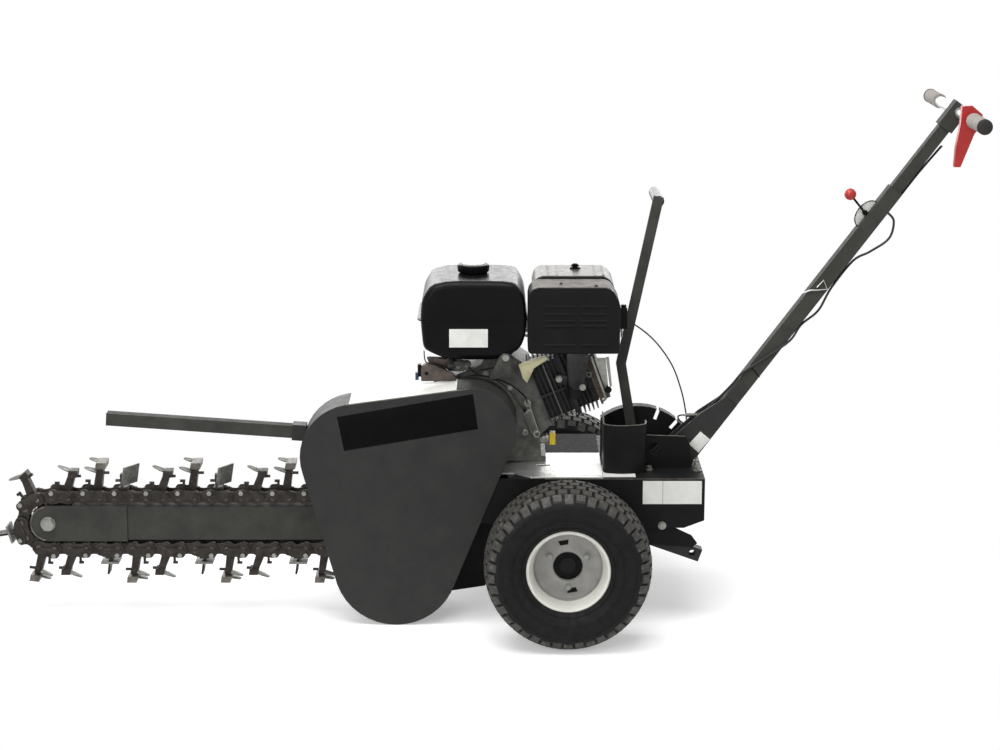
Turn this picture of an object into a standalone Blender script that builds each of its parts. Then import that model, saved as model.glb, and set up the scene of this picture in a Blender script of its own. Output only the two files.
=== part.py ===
"""A walk-behind trencher: two turf wheels, an engine on a steel frame, a digging chain on a boom
that a depth lever swings down, a guard over the drive, and a telescopic mast with a handlebar.

Metres, +Z up. The shapes are placed with X = 0 at the wheel axle, Y = 0 midway between the wheels
and Z = 0 on the ground; the operator stands at +X. The last step slides the whole assembly so that
the origin is the bottom centre of its bounding box.
"""

import math

import bmesh
import bpy
from mathutils import Matrix, Vector

# Clearances
GAP = 0.0003
RUNNING = 0.0010
SHEET = 0.004

# Wheels and axle
WHEEL_RADIUS = 0.190
WHEEL_WIDTH = 0.155
TRACK = 0.676
RIM_RADIUS = 0.0942
RIM_WALL = 0.006
RIM_HALF = 0.058
DISC_FRONT = 0.013
HUB_HOLE = 0.033
HUB_FACE = 0.002
HUB_INNER = -0.050
AXLE_RADIUS = 0.0125
COLLAR_RADIUS = 0.019
COLLAR_WIDTH = 0.006

# Frame
FRAME_LEFT = -0.275
FRAME_RIGHT = 0.3186
FRAME_HALF_WIDTH = 0.1997
DECK_TOP = 0.352
FRAME_BOTTOM = 0.2345
REAR_CHAMFER = 0.047
AXLE_LOBE = 0.034
ENGINE_PLATE_RIGHT = 0.084

# Drive shaft, boom and digging chain
SHAFT_X = -0.377
SHAFT_Z = 0.222
BOOM_Y = -0.100
BOOM_LENGTH = 0.835
BOOM_HEIGHT = 0.081
BOOM_WIDTH = 0.038
BOOM_WALL = 0.004
CHAIN_PITCH_RADIUS = 0.063
CHAIN_HALF_HEIGHT = 0.0165
CHAIN_WIDTH = 0.050
CUTTER_COUNT = 28
CUTTER_REACH = 0.148
CUTTER_WIDTH = 0.090
SHAFT_RADIUS = 0.0125
SPROCKET_THICK = 0.012
SPROCKET_TEETH = 10
SPROCKET_TIP = CHAIN_PITCH_RADIUS - CHAIN_HALF_HEIGHT - RUNNING
NOSE_PLATE = 0.005
NOSE_LENGTH = 0.185
NOSE_BOLT_RADIUS = 0.010

# Guard, a rounded triangle given by three corner circles (x, z, radius)
GUARD_CORNERS = ((-0.395, 0.1435, 0.1435), (-0.487, 0.403, 0.1255), (-0.214, 0.467, 0.0985))
GUARD_FRONT_Y = -0.203
GUARD_SHEET = 0.003
RIM_BACK_Y = -0.085
BACK_PLATE_Y = 0.0
BAR_SIDE = 0.029
BAR_Y = -0.150
BAR_START = (-0.612, 0.4525)
BAR_END = (-1.060, 0.4840)

# Engine
CASE_LEFT = -0.315
CRANK_X = -0.208
CRANK_Z = 0.466
CRANK_RADIUS = 0.0127
COVER_FRONT = -0.080
CASE_FRONT = -0.060
CASE_BACK = 0.100
PRIMARY_Y = -0.180
ENGINE_SPROCKET_RADIUS = 0.030
DRIVEN_SPROCKET_RADIUS = 0.100
PRIMARY_HALF = 0.006
CYLINDER_TILT = math.radians(22)
CYLINDER_CORNER = (-0.030, 0.447)
CYLINDER_LENGTH = 0.125
CYLINDER_HEIGHT = 0.160
FIN_COUNT = 8
FIN_DEPTH = 0.012
TANK_LOW = (-0.3365, -0.120, 0.612)
TANK_HIGH = (-0.094, 0.120, 0.797)
MUFFLER_LOW = (-0.0888, -0.120, 0.626)
MUFFLER_HIGH = (0.1237, -0.006, 0.784)
CLEANER_LOW = (-0.074, 0.000, 0.655)
CLEANER_HIGH = (0.114, 0.150, 0.797)
CLEANER_SPLIT = 0.735
CAP_RADIUS = 0.037
BLOWER_RADIUS = 0.112

# Depth lever and its quadrant
LEVER_X = 0.1744
LEVER_Z = 0.330
LEVER_Y = -0.005
LEVER_THICK = 0.010
LEVER_WIDTH = 0.024
LEVER_KINK = (0.1322, 0.579)
LEVER_TOP = (0.2155, 0.977)
LEVER_SHAFT_RADIUS = 0.009
GRIP_RADIUS = 0.0135
LEVER_GRIP_LENGTH = 0.150
QUADRANT_RADIUS = 0.144
QUADRANT_Y = 0.008
QUADRANT_SLOTS = (-9, 20, 41)
SHIELD_TOP = 0.468

# Mast and handle
MAST_Y = -0.050
MAST_TILT = math.radians(53.45)
MAST_FOOT = (0.2866, 0.368)
MAST_SIDE = 0.034
MAST_WALL = 0.0025
MAST_LENGTH = 0.788
HANDLE_PLAY = 0.00075
HANDLE_SIDE = MAST_SIDE - 2 * MAST_WALL - 2 * HANDLE_PLAY
HANDLE_INSERT = 0.200
HANDLE_REACH = 0.206
BAR_RADIUS = 0.0125
BAR_NEAR_Y = -0.350
BAR_FAR_Y = 0.300
GRIP_LENGTH = 0.120
HAND_GRIP_RADIUS = 0.0155

ROUND_SIDES = 24
WHEEL_SIDES = 28
CABLE_RADIUS = 0.0028
THIN_CABLE_RADIUS = 0.0018

Y_AXIS = Matrix.Rotation(math.radians(-90), 4, "X")
X_AXIS = Matrix.Rotation(math.radians(90), 4, "Y")


# ---------------------------------------------------------------- scene and helpers

def clear_scene():
    for obj in list(bpy.data.objects):
        bpy.data.objects.remove(obj, do_unlink=True)


def new_collection(name):
    group = bpy.data.collections.new(name)
    bpy.context.scene.collection.children.link(group)
    return group


clear_scene()
PARTS = new_collection("trencher")
CUTTERS = new_collection("cutters")


def empty(name, at, parent=None):
    """A pivot at a place in the assembly's frame."""
    pivot = bpy.data.objects.new(name, None)
    pivot.empty_display_size = 0.05
    PARTS.objects.link(pivot)
    pivot["at"] = at
    pivot.location = Vector(at) - Vector(parent["at"] if parent else (0, 0, 0))
    pivot.parent = parent
    return pivot


def material(name, color, roughness, metallic=0.0):
    made = bpy.data.materials.new(name)
    made.use_nodes = True
    shader = made.node_tree.nodes["Principled BSDF"]
    shader.inputs["Base Color"].default_value = (*color, 1)
    shader.inputs["Roughness"].default_value = roughness
    shader.inputs["Metallic"].default_value = metallic
    made.diffuse_color = (*color, 1)
    return made


def attach(obj, finish, pivot):
    """Gives the object its material, and hangs it and its helpers on the pivot where they are."""
    obj.data.materials.append(finish)
    helpers = [other for action in obj.modifiers if action.type == "BOOLEAN"
               for other in action.collection.objects]
    for piece in (obj, *helpers):
        piece.parent = pivot
        piece.location -= Vector(pivot["at"])
    return obj


def mesh_object(name, mesh, group=PARTS):
    obj = bpy.data.objects.new(name, mesh)
    group.objects.link(obj)
    return obj


def from_bmesh(name, shape, smooth=False, group=PARTS):
    mesh = bpy.data.meshes.new(name)
    shape.to_mesh(mesh)
    shape.free()
    if smooth:
        mesh.shade_smooth()
        mesh.set_sharp_from_angle(angle=math.radians(40))
    return mesh_object(name, mesh, group)


def box(name, low, high, bevel=0.0, segments=2, group=PARTS):
    """A box between two corners, with its origin at its centre."""
    shape = bmesh.new()
    bmesh.ops.create_cube(shape, size=1)
    size = Vector(high) - Vector(low)
    bmesh.ops.scale(shape, vec=size, verts=shape.verts)
    obj = from_bmesh(name, shape, group=group)
    obj.location = (Vector(high) + Vector(low)) / 2
    if bevel:
        rounding = obj.modifiers.new("edges", "BEVEL")
        rounding.width = bevel
        rounding.segments = segments
    return obj


def rod(name, start, end, radius, sides=ROUND_SIDES, group=PARTS):
    """A round bar between two points."""
    shape = bmesh.new()
    run = Vector(end) - Vector(start)
    bmesh.ops.create_cone(
        shape, cap_ends=True, segments=sides, radius1=radius, radius2=radius, depth=run.length
    )
    obj = from_bmesh(name, shape, smooth=True, group=group)
    obj.rotation_euler = run.to_track_quat("Z", "Y").to_euler()
    obj.location = (Vector(start) + Vector(end)) / 2
    return obj


def turned(name, profile, centre, turn=Y_AXIS, sides=ROUND_SIDES, ring=False):
    """A profile of (radius, height) points turned about the local Z axis, listed down its outer side."""
    mesh = bpy.data.meshes.new(name)
    count = len(profile)
    edges = [(i, i + 1) for i in range(count - 1)]
    if ring:
        edges.append((count - 1, 0))
    mesh.from_pydata([(radius, 0, height) for radius, height in profile], edges, [])
    obj = mesh_object(name, mesh)
    screw = obj.modifiers.new("turn", "SCREW")
    screw.steps = screw.render_steps = sides
    screw.use_merge_vertices = True
    screw.merge_threshold = 0.00005
    screw.use_smooth_shade = True
    obj.rotation_euler = turn.to_euler()
    obj.location = centre
    return obj


def as_mesh(curve_object, group=PARTS):
    """The curve's solid as a mesh object, so that it can be cut, joined or rounded."""
    graph = bpy.context.evaluated_depsgraph_get()
    mesh = bpy.data.meshes.new_from_object(curve_object.evaluated_get(graph))
    shape = bmesh.new()
    shape.from_mesh(mesh)
    bmesh.ops.remove_doubles(shape, verts=shape.verts, dist=0.00001)
    bmesh.ops.recalc_face_normals(shape, faces=shape.faces)
    shape.to_mesh(mesh)
    shape.free()
    name = curve_object.name
    turn, place = curve_object.rotation_euler.copy(), curve_object.location.copy()
    bpy.data.objects.remove(curve_object, do_unlink=True)
    obj = mesh_object(name, mesh, group)
    obj.rotation_euler, obj.location = turn, place
    return obj


def sheet(name, outline, low, high, holes=(), plane="XZ", group=PARTS):
    """A flat outline extruded between two places along its normal. The holes are outlines too."""
    flat = bpy.data.curves.new(name, "CURVE")
    flat.dimensions = "2D"
    flat.fill_mode = "BOTH"
    flat.extrude = (high - low) / 2
    for points in (outline, *holes):
        spline = flat.splines.new("POLY")
        spline.points.add(len(points) - 1)
        for target, (a, b) in zip(spline.points, points):
            target.co = (a, b, 0, 1)
        spline.use_cyclic_u = True
    obj = mesh_object(name, flat, group)
    middle = (low + high) / 2
    if plane == "XZ":
        obj.rotation_euler = (math.radians(90), 0, 0)
        obj.location = (0, middle, 0)
    else:
        obj.location = (0, 0, middle)
    bpy.context.view_layer.update()
    return as_mesh(obj, group)


def wire(name, points, radius, group=PARTS):
    """A round cord along a smooth curve through its route's points."""
    cord = bpy.data.curves.new(name, "CURVE")
    cord.dimensions = "3D"
    cord.bevel_depth = radius
    cord.bevel_resolution = 2
    cord.use_fill_caps = True
    spline = cord.splines.new("POLY")
    smooth = through(points)
    spline.points.add(len(smooth) - 1)
    for target, point in zip(spline.points, smooth):
        target.co = (*point, 1)
    return mesh_object(name, cord, group)


def through(points, steps=3):
    """Points along the smooth curve that passes through the route's points."""
    route = [Vector(p) for p in points]
    ends = [2 * route[0] - route[1], *route, 2 * route[-1] - route[-2]]
    found = []
    for i in range(1, len(ends) - 2):
        a, b, c, d = ends[i - 1:i + 3]
        for step in range(steps):
            t = step / steps
            found.append(
                0.5 * (2 * b + (c - a) * t + (2 * a - 5 * b + 4 * c - d) * t * t
                       + (3 * b - a - 3 * c + d) * t ** 3)
            )
    found.append(route[-1])
    return found


def boolean(obj, others, operation):
    """Cuts or joins with the other objects, which become hidden helpers."""
    helpers = bpy.data.collections.new(obj.name + "_" + operation.lower())
    CUTTERS.children.link(helpers)
    for other in others:
        for group in list(other.users_collection):
            group.objects.unlink(other)
        helpers.objects.link(other)
        other.hide_render = True
        other.display_type = "WIRE"
    action = obj.modifiers.new(operation.lower(), "BOOLEAN")
    action.operation = operation
    action.operand_type = "COLLECTION"
    action.collection = helpers
    return obj


def cut(obj, *others):
    return boolean(obj, others, "DIFFERENCE")


def join(obj, *others):
    return boolean(obj, others, "UNION")


def circle(x, z, radius, sides=ROUND_SIDES):
    step = 2 * math.pi / sides
    return [(x + radius * math.cos(i * step), z + radius * math.sin(i * step)) for i in range(sides)]


def hull(points):
    """The convex outline round some points, counter-clockwise."""
    ordered = sorted(set(points))

    def half(run):
        chain = []
        for p in run:
            while len(chain) > 1 and turn_of(chain[-2], chain[-1], p) <= 0:
                chain.pop()
            chain.append(p)
        return chain[:-1]

    return half(ordered) + half(ordered[::-1])


def turn_of(a, b, c):
    return (b[0] - a[0]) * (c[1] - a[1]) - (b[1] - a[1]) * (c[0] - a[0])


def around(circles, grow=0.0, sides=40):
    """The outline of a belt laid round some circles (x, z, radius), set out by grow."""
    return hull([p for x, z, radius in circles for p in circle(x, z, radius + grow, sides)])


def along(origin, angle, run, rise=0.0):
    """A point in the XZ plane, run along a direction and rise to its left."""
    return (
        origin[0] + run * math.cos(angle) - rise * math.sin(angle),
        origin[1] + run * math.sin(angle) + rise * math.cos(angle),
    )


def strip(start, end, width):
    """The outline of a flat bar between two points."""
    angle = math.atan2(end[1] - start[1], end[0] - start[0])
    length = math.hypot(end[0] - start[0], end[1] - start[1])
    corners = ((0, -1), (length, -1), (length, 1), (0, 1))
    return [along(start, angle, run, side * width / 2) for run, side in corners]


# ---------------------------------------------------------------- materials and pivots

CHARCOAL = material("charcoal_paint", (0.035, 0.036, 0.032), 0.55)
BLACK_PAINT = material("black_paint", (0.012, 0.012, 0.012), 0.45)
ZINC = material("zinc_plate", (0.62, 0.65, 0.66), 0.35, 0.9)
STEEL = material("bare_steel", (0.40, 0.38, 0.35), 0.45, 0.9)
CHAIN_STEEL = material("chain_steel", (0.06, 0.05, 0.04), 0.55, 0.6)
CASTING = material("cast_aluminium", (0.22, 0.22, 0.20), 0.5, 0.8)
FIN_METAL = material("fin_metal", (0.04, 0.04, 0.04), 0.5, 0.5)
PLASTIC = material("black_plastic", (0.012, 0.012, 0.013), 0.35)
RUBBER = material("tyre_rubber", (0.012, 0.012, 0.012), 0.8)
WHITE_PAINT = material("white_paint", (0.70, 0.70, 0.66), 0.4)
GRIP_RUBBER = material("grey_grip", (0.30, 0.28, 0.26), 0.7)
RED = material("red_plastic", (0.36, 0.02, 0.02), 0.35)
YELLOW = material("yellow_plastic", (0.62, 0.44, 0.02), 0.45)

ROOT = empty("trencher_root", (0, 0, 0))
BOOM = empty("boom_pivot", (SHAFT_X, BOOM_Y, SHAFT_Z), ROOT)
NOSE_X = SHAFT_X - BOOM_LENGTH
NOSE = empty("nose_pivot", (NOSE_X, BOOM_Y, SHAFT_Z), BOOM)
DRIVE = empty("drive_pivot", (SHAFT_X, BOOM_Y, SHAFT_Z), ROOT)
CRANK = empty("crank_pivot", (CRANK_X, PRIMARY_Y, CRANK_Z), ROOT)
LEVER = empty("lever_pivot", (LEVER_X, LEVER_Y, LEVER_Z), ROOT)


# ---------------------------------------------------------------- wheels

def build_wheel(side, sign):
    y = sign * TRACK / 2
    pivot = empty(side + "_wheel_pivot", (0, y, WHEEL_RADIUS), ROOT)
    outboard = Matrix.Rotation(math.radians(-90 * sign), 4, "X")
    half = WHEEL_WIDTH / 2
    bore = RIM_RADIUS + GAP
    upper = [
        (bore, RIM_HALF - 0.003),
        (0.116, half - 0.006),
        (0.148, half),
        (0.170, half - 0.006),
        (WHEEL_RADIUS - 0.006, half - 0.022),
        (WHEEL_RADIUS, half - 0.045),
    ]
    lower = [(radius, -height) for radius, height in reversed(upper)]
    tyre = turned(side + "_tyre", upper + lower, (0, y, WHEEL_RADIUS), outboard, WHEEL_SIDES, ring=True)
    attach(tyre, RUBBER, pivot)
    inside = RIM_RADIUS - RIM_WALL
    bore = AXLE_RADIUS + GAP
    profile = [
        (RIM_RADIUS, RIM_HALF),
        (RIM_RADIUS, -RIM_HALF),
        (inside, -RIM_HALF),
        (inside, DISC_FRONT - 0.009),
        (0.050, DISC_FRONT - 0.009),
        (0.050, -0.006),
        (0.022, -0.006),
        (0.022, HUB_INNER),
        (bore, HUB_INNER),
        (bore, HUB_FACE),
        (HUB_HOLE, HUB_FACE),
        (HUB_HOLE, DISC_FRONT),
        (inside - 0.008, DISC_FRONT),
        (inside, DISC_FRONT + 0.008),
        (inside, RIM_HALF - 0.006),
        (inside + 0.003, RIM_HALF),
    ]
    rim = turned(side + "_rim", profile, (0, y, WHEEL_RADIUS), outboard, WHEEL_SIDES, ring=True)
    attach(rim, WHITE_PAINT, pivot)


def build_axle():
    """A straight axle whose collars hold the hubs from both sides."""
    inner = TRACK / 2 + HUB_INNER - GAP
    outer = TRACK / 2 + HUB_FACE + GAP
    half = [
        (0, outer + COLLAR_WIDTH),
        (COLLAR_RADIUS, outer + COLLAR_WIDTH),
        (COLLAR_RADIUS, outer),
        (AXLE_RADIUS, outer),
        (AXLE_RADIUS, inner),
        (COLLAR_RADIUS, inner),
        (COLLAR_RADIUS, inner - COLLAR_WIDTH),
        (AXLE_RADIUS, inner - COLLAR_WIDTH),
    ]
    profile = half + [(radius, -height) for radius, height in reversed(half)]
    attach(turned("axle", profile, (0, 0, WHEEL_RADIUS), Y_AXIS, 16), STEEL, ROOT)


# ---------------------------------------------------------------- frame

def build_frame():
    """A folded channel: the deck, two side walls that drop round the axle, and a rear wall."""
    low = FRAME_BOTTOM
    wall = [
        (FRAME_LEFT, DECK_TOP),
        (FRAME_LEFT, low + 0.02),
        (-0.080, low),
        (-AXLE_LOBE, WHEEL_RADIUS - 0.012),
        (-AXLE_LOBE / 2, WHEEL_RADIUS - AXLE_LOBE),
        (AXLE_LOBE / 2, WHEEL_RADIUS - AXLE_LOBE),
        (AXLE_LOBE, WHEEL_RADIUS - 0.012),
        (0.080, low),
        (FRAME_RIGHT - REAR_CHAMFER, low),
        (FRAME_RIGHT, low + 0.018),
        (FRAME_RIGHT, DECK_TOP),
    ]
    axle_hole = circle(0, WHEEL_RADIUS, AXLE_RADIUS + GAP)
    outer = FRAME_HALF_WIDTH
    near = sheet("frame_box", wall, -outer, -outer + SHEET, [axle_hole])
    far = sheet("frame_far_wall", wall, outer - SHEET, outer, [axle_hole])
    deck = box("frame_deck", (FRAME_LEFT, -outer, DECK_TOP - SHEET), (FRAME_RIGHT, outer, DECK_TOP))
    rear = box(
        "frame_rear_wall",
        (FRAME_RIGHT - SHEET, -outer, low + 0.018),
        (FRAME_RIGHT, outer, DECK_TOP),
    )
    join(near, far, deck, rear)
    chain_slot = box(
        "chain_slot",
        (FRAME_LEFT - 0.02, PRIMARY_Y - 0.0155, DECK_TOP - 0.02),
        (-0.135, PRIMARY_Y + 0.015, DECK_TOP + 0.02),
    )
    lever_slot = box(
        "lever_slot",
        (LEVER_X - 0.050, LEVER_Y - 0.020, DECK_TOP - 0.02),
        (LEVER_X + 0.060, LEVER_Y + 0.013, DECK_TOP + 0.02),
    )
    cut(near, chain_slot, lever_slot)
    attach(near, BLACK_PAINT, ROOT)


def build_engine_plate():
    """The bright plate between the engine's feet and the deck, with one adjusting slot."""
    low = (FRAME_LEFT, -0.164)
    high = (ENGINE_PLATE_RIGHT, 0.160)
    outline = [
        (low[0], low[1]),
        (-0.120, low[1]),
        (-0.080, -FRAME_HALF_WIDTH),
        (high[0], -FRAME_HALF_WIDTH),
        (high[0], high[1]),
        (low[0], high[1]),
    ]
    slot = strip((-0.068, -0.094), (-0.036, -0.094), 0.012)
    plate = sheet(
        "engine_plate", outline, DECK_TOP + GAP, DECK_TOP + GAP + SHEET, [slot], plane="XY"
    )
    attach(plate, ZINC, ROOT)


HITCH_Y = -FRAME_HALF_WIDTH + SHEET + GAP + 0.006 + GAP + 0.0155
HITCH_START = (0.110, 0.2360)
HITCH_END = (0.3117, 0.1637)
HITCH_SIDE = 0.030


def build_hitch():
    """A square tube that slopes down behind the frame, with a pin hole, and the plate that holds it."""
    angle = math.atan2(HITCH_END[1] - HITCH_START[1], HITCH_END[0] - HITCH_START[0])
    pin = along(HITCH_END, angle, -0.020)
    hole = circle(*pin, 0.0075, 16)
    half = HITCH_SIDE / 2
    arm = sheet(
        "hitch_arm", strip(HITCH_START, HITCH_END, HITCH_SIDE), HITCH_Y - half, HITCH_Y + half, [hole]
    )
    start = along(HITCH_START, angle, -0.01)
    end = along(HITCH_END, angle, 0.01)
    inner = HITCH_SIDE - 0.006
    hollow = sheet(
        "hitch_hollow", strip(start, end, inner), HITCH_Y - inner / 2, HITCH_Y + inner / 2
    )
    cut(arm, hollow)
    attach(arm, CHARCOAL, ROOT)
    top = FRAME_BOTTOM + 0.060
    plate = [
        (0.105, top),
        (0.105, 0.215),
        (0.175, 0.196),
        (0.292, 0.186),
        (0.304, 0.196),
        (0.290, 0.215),
        (0.215, 0.250),
        (0.200, top),
    ]
    inner_face = -FRAME_HALF_WIDTH + SHEET + GAP
    attach(sheet("hitch_brace", plate, inner_face, inner_face + 0.006), BLACK_PAINT, ROOT)


# ---------------------------------------------------------------- guard

def build_guard():
    outline = around(GUARD_CORNERS)
    front = sheet("guard_front_plate", outline, GUARD_FRONT_Y, GUARD_FRONT_Y + GUARD_SHEET)
    attach(front, CHARCOAL, ROOT)
    build_guard_rim()
    build_guard_back()
    build_deflector()


def build_guard_rim():
    """A band that wraps the guard's top edge back towards the engine, and the bar's socket on it."""
    front_y = GUARD_FRONT_Y + GUARD_SHEET + GAP
    left, right = GUARD_CORNERS[1], GUARD_CORNERS[2]
    outer = around((left, right))
    inner = around((left, right), -GUARD_SHEET)
    rim = sheet("guard_rim", outer, front_y, RIM_BACK_Y, [inner])
    below = [
        (left[0] - 0.20, 0.20),
        (right[0] + 0.20, 0.20),
        (right[0] + 0.20, right[1] - 0.045),
        (right[0], right[1] - 0.045),
        (left[0], left[1] + 0.004),
        (left[0] - 0.20, left[1] + 0.004),
    ]
    lower = sheet("guard_rim_lower", below, front_y - 0.02, RIM_BACK_Y + 0.02)
    angle = math.atan2(BAR_END[1] - BAR_START[1], BAR_END[0] - BAR_START[0])
    sleeve_outer = BAR_SIDE + 0.008
    inward = along(BAR_START, angle, -0.012)
    outward = along(BAR_START, angle, 0.020)
    sleeve = sheet(
        "bar_sleeve",
        strip(inward, outward, sleeve_outer),
        BAR_Y - sleeve_outer / 2,
        BAR_Y + sleeve_outer / 2,
    )
    join(rim, sleeve)
    half = BAR_SIDE / 2 + GAP
    bore = sheet(
        "bar_bore", strip(BAR_START, along(outward, angle, 0.02), 2 * half), BAR_Y - half, BAR_Y + half
    )
    cut(rim, lower, bore)
    attach(rim, CHARCOAL, ROOT)


def build_guard_back():
    """The plate behind the digging chain. It carries the shaft's bearing and stands on the ground."""
    bottom, left = GUARD_CORNERS[0], GUARD_CORNERS[1]
    under_deck = DECK_TOP - SHEET - GAP
    outline = hull(
        circle(*bottom, 40)
        + [(left[0] - 0.10, 0.330), (-0.190, 0.030), (-0.125, 0.100), (-0.125, under_deck)]
    )
    outline = [p for p in outline if p[1] <= under_deck + 0.0001]
    beside = CASE_LEFT - 2 * GAP
    top = [(beside, under_deck), (beside, 0.440), (left[0] - 0.02, 0.470)]
    start = max(range(len(outline)), key=lambda i: outline[i][0] + outline[i][1])
    turned_outline = outline[start + 1:] + outline[:start + 1]
    hole = circle(SHAFT_X, SHAFT_Z, SHAFT_RADIUS + RUNNING)
    back = sheet(
        "guard_back_plate",
        turned_outline + top,
        BACK_PLATE_Y - GUARD_SHEET,
        BACK_PLATE_Y,
        [hole],
    )
    spacer = box(
        "guard_spacer",
        (left[0] - 0.030, RIM_BACK_Y + GAP, 0.420),
        (left[0] + 0.010, BACK_PLATE_Y - 0.001, 0.450),
    )
    join(back, spacer)
    attach(back, BLACK_PAINT, ROOT)
    profile = [
        (0.022, 0.040),
        (0.022, 0.010),
        (0.045, 0.010),
        (0.045, 0.0),
        (SHAFT_RADIUS + GAP, 0.0),
        (SHAFT_RADIUS + GAP, 0.040),
    ]
    housing = turned("shaft_bearing", profile, (SHAFT_X, BACK_PLATE_Y + GAP, SHAFT_Z), ring=True)
    attach(housing, CASTING, ROOT)


def build_deflector():
    """The square safety bar that stands out over the digging chain."""
    half = BAR_SIDE / 2
    start = along(BAR_START, math.atan2(BAR_END[1] - BAR_START[1], BAR_END[0] - BAR_START[0]), GAP)
    bar = sheet("deflector_bar", strip(start, BAR_END, BAR_SIDE), BAR_Y - half, BAR_Y + half)
    attach(bar, CHARCOAL, ROOT)


# ---------------------------------------------------------------- drive

def toothed(teeth, tip, root):
    """The outline of a sprocket: a flat tip and a flat root for each tooth."""
    step = 2 * math.pi / teeth
    points = []
    for i in range(teeth):
        for share, radius in ((-0.14, tip), (0.14, tip), (0.30, root), (0.70, root)):
            angle = (i + share) * step
            points.append((radius * math.cos(angle), radius * math.sin(angle)))
    return points


def sprocket(name, x, z, y, teeth, tip, root, bore, thick):
    outline = [(x + a, z + b) for a, b in toothed(teeth, tip, root)]
    return sheet(name, outline, y - thick / 2, y + thick / 2, [circle(x, z, bore)])


def build_drive():
    near_end = PRIMARY_Y - 0.012
    far_end = BACK_PLATE_Y + 0.050
    shaft = rod("drive_shaft", (SHAFT_X, near_end, SHAFT_Z), (SHAFT_X, far_end, SHAFT_Z), SHAFT_RADIUS)
    attach(shaft, STEEL, DRIVE)
    bore = SHAFT_RADIUS + GAP
    driver = sprocket(
        "drive_sprocket", SHAFT_X, SHAFT_Z, BOOM_Y, SPROCKET_TEETH, SPROCKET_TIP, 0.034, bore,
        SPROCKET_THICK,
    )
    attach(driver, CHAIN_STEEL, DRIVE)
    inside = DRIVEN_SPROCKET_RADIUS - PRIMARY_HALF - RUNNING
    driven = sprocket(
        "driven_sprocket", SHAFT_X, SHAFT_Z, PRIMARY_Y, 20, inside, inside - 0.005, bore, 0.006
    )
    attach(driven, CHAIN_STEEL, DRIVE)


def build_crank():
    """The engine's output shaft, stepped out to the small sprocket of its clutch."""
    front = PRIMARY_Y - 0.006 - PRIMARY_Y
    tip = ENGINE_SPROCKET_RADIUS - PRIMARY_HALF - RUNNING
    back = CASE_FRONT - GAP - PRIMARY_Y
    profile = [
        (0, back),
        (CRANK_RADIUS, back),
        (CRANK_RADIUS, 0.004),
        (tip, 0.004),
        (tip, -0.004),
        (0.016, -0.004),
        (0.016, front),
        (0, front),
    ]
    crank = turned("crankshaft", profile, (CRANK_X, PRIMARY_Y, CRANK_Z))
    attach(crank, STEEL, CRANK)


def build_primary_chain():
    wheels = (
        (CRANK_X, CRANK_Z, ENGINE_SPROCKET_RADIUS),
        (SHAFT_X, SHAFT_Z, DRIVEN_SPROCKET_RADIUS),
    )
    outer = around(wheels, PRIMARY_HALF, 32)
    inner = around(wheels, -PRIMARY_HALF, 32)
    loop = sheet("primary_chain", outer, PRIMARY_Y - 0.006, PRIMARY_Y + 0.006, [inner])
    attach(loop, CHAIN_STEEL, ROOT)


# ---------------------------------------------------------------- boom and digging chain

def build_boom():
    """A rectangular tube. Its drive end is two cheeks that turn on the shaft beside the sprocket."""
    half = BOOM_HEIGHT / 2
    left = NOSE_X + SPROCKET_TIP + 0.008
    web_end = SHAFT_X - SPROCKET_TIP - 0.012
    cheek_end = SHAFT_X + half
    outline = hull(
        circle(SHAFT_X, SHAFT_Z, half) + [(left, SHAFT_Z - half), (left, SHAFT_Z + half)]
    )
    hole = circle(SHAFT_X, SHAFT_Z, SHAFT_RADIUS + RUNNING)
    half_width = BOOM_WIDTH / 2
    bar = sheet("boom_bar", outline, BOOM_Y - half_width, BOOM_Y + half_width, [hole])
    inner = half_width - BOOM_WALL
    bore = box(
        "boom_bore",
        (left - 0.02, BOOM_Y - inner, SHAFT_Z - half + BOOM_WALL),
        (cheek_end + 0.05, BOOM_Y + inner, SHAFT_Z + half - BOOM_WALL),
    )
    fork = box(
        "boom_fork",
        (web_end, BOOM_Y - inner - 0.0004, SHAFT_Z - half - 0.01),
        (cheek_end + 0.06, BOOM_Y + inner + 0.0004, SHAFT_Z + half + 0.01),
    )
    cut(bar, bore, fork)
    attach(bar, CHARCOAL, BOOM)
    build_nose()


def build_nose():
    """Two round-ended plates on the boom's sides, the bolt through them and the idler on the bolt."""
    radius = BOOM_HEIGHT / 2 + 0.0025
    right = NOSE_X + NOSE_LENGTH
    outline = hull(
        circle(NOSE_X, SHAFT_Z, radius, 32) + [(right, SHAFT_Z - radius), (right, SHAFT_Z + radius)]
    )
    hole = circle(NOSE_X, SHAFT_Z, NOSE_BOLT_RADIUS + GAP)
    face = BOOM_WIDTH / 2 + GAP
    for side, sign in (("near", -1), ("far", 1)):
        low, high = sorted((BOOM_Y + sign * face, BOOM_Y + sign * (face + NOSE_PLATE)))
        plate = sheet("nose_plate_" + side, outline, low, high, [hole])
        attach(plate, CHARCOAL, BOOM)
    reach = face + NOSE_PLATE + GAP
    head = 0.0165
    profile = [
        (0, reach + 0.012),
        (head, reach + 0.012),
        (head, reach),
        (NOSE_BOLT_RADIUS, reach),
        (NOSE_BOLT_RADIUS, -reach),
        (head, -reach),
        (head, -reach - 0.012),
        (0, -reach - 0.012),
    ]
    bolt = turned("nose_bolt", profile, (NOSE_X, BOOM_Y, SHAFT_Z))
    attach(bolt, ZINC, BOOM)
    idler = sprocket(
        "nose_idler", NOSE_X, SHAFT_Z, BOOM_Y, SPROCKET_TEETH, SPROCKET_TIP, 0.034,
        NOSE_BOLT_RADIUS + GAP, SPROCKET_THICK,
    )
    attach(idler, CHAIN_STEEL, NOSE)


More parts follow.
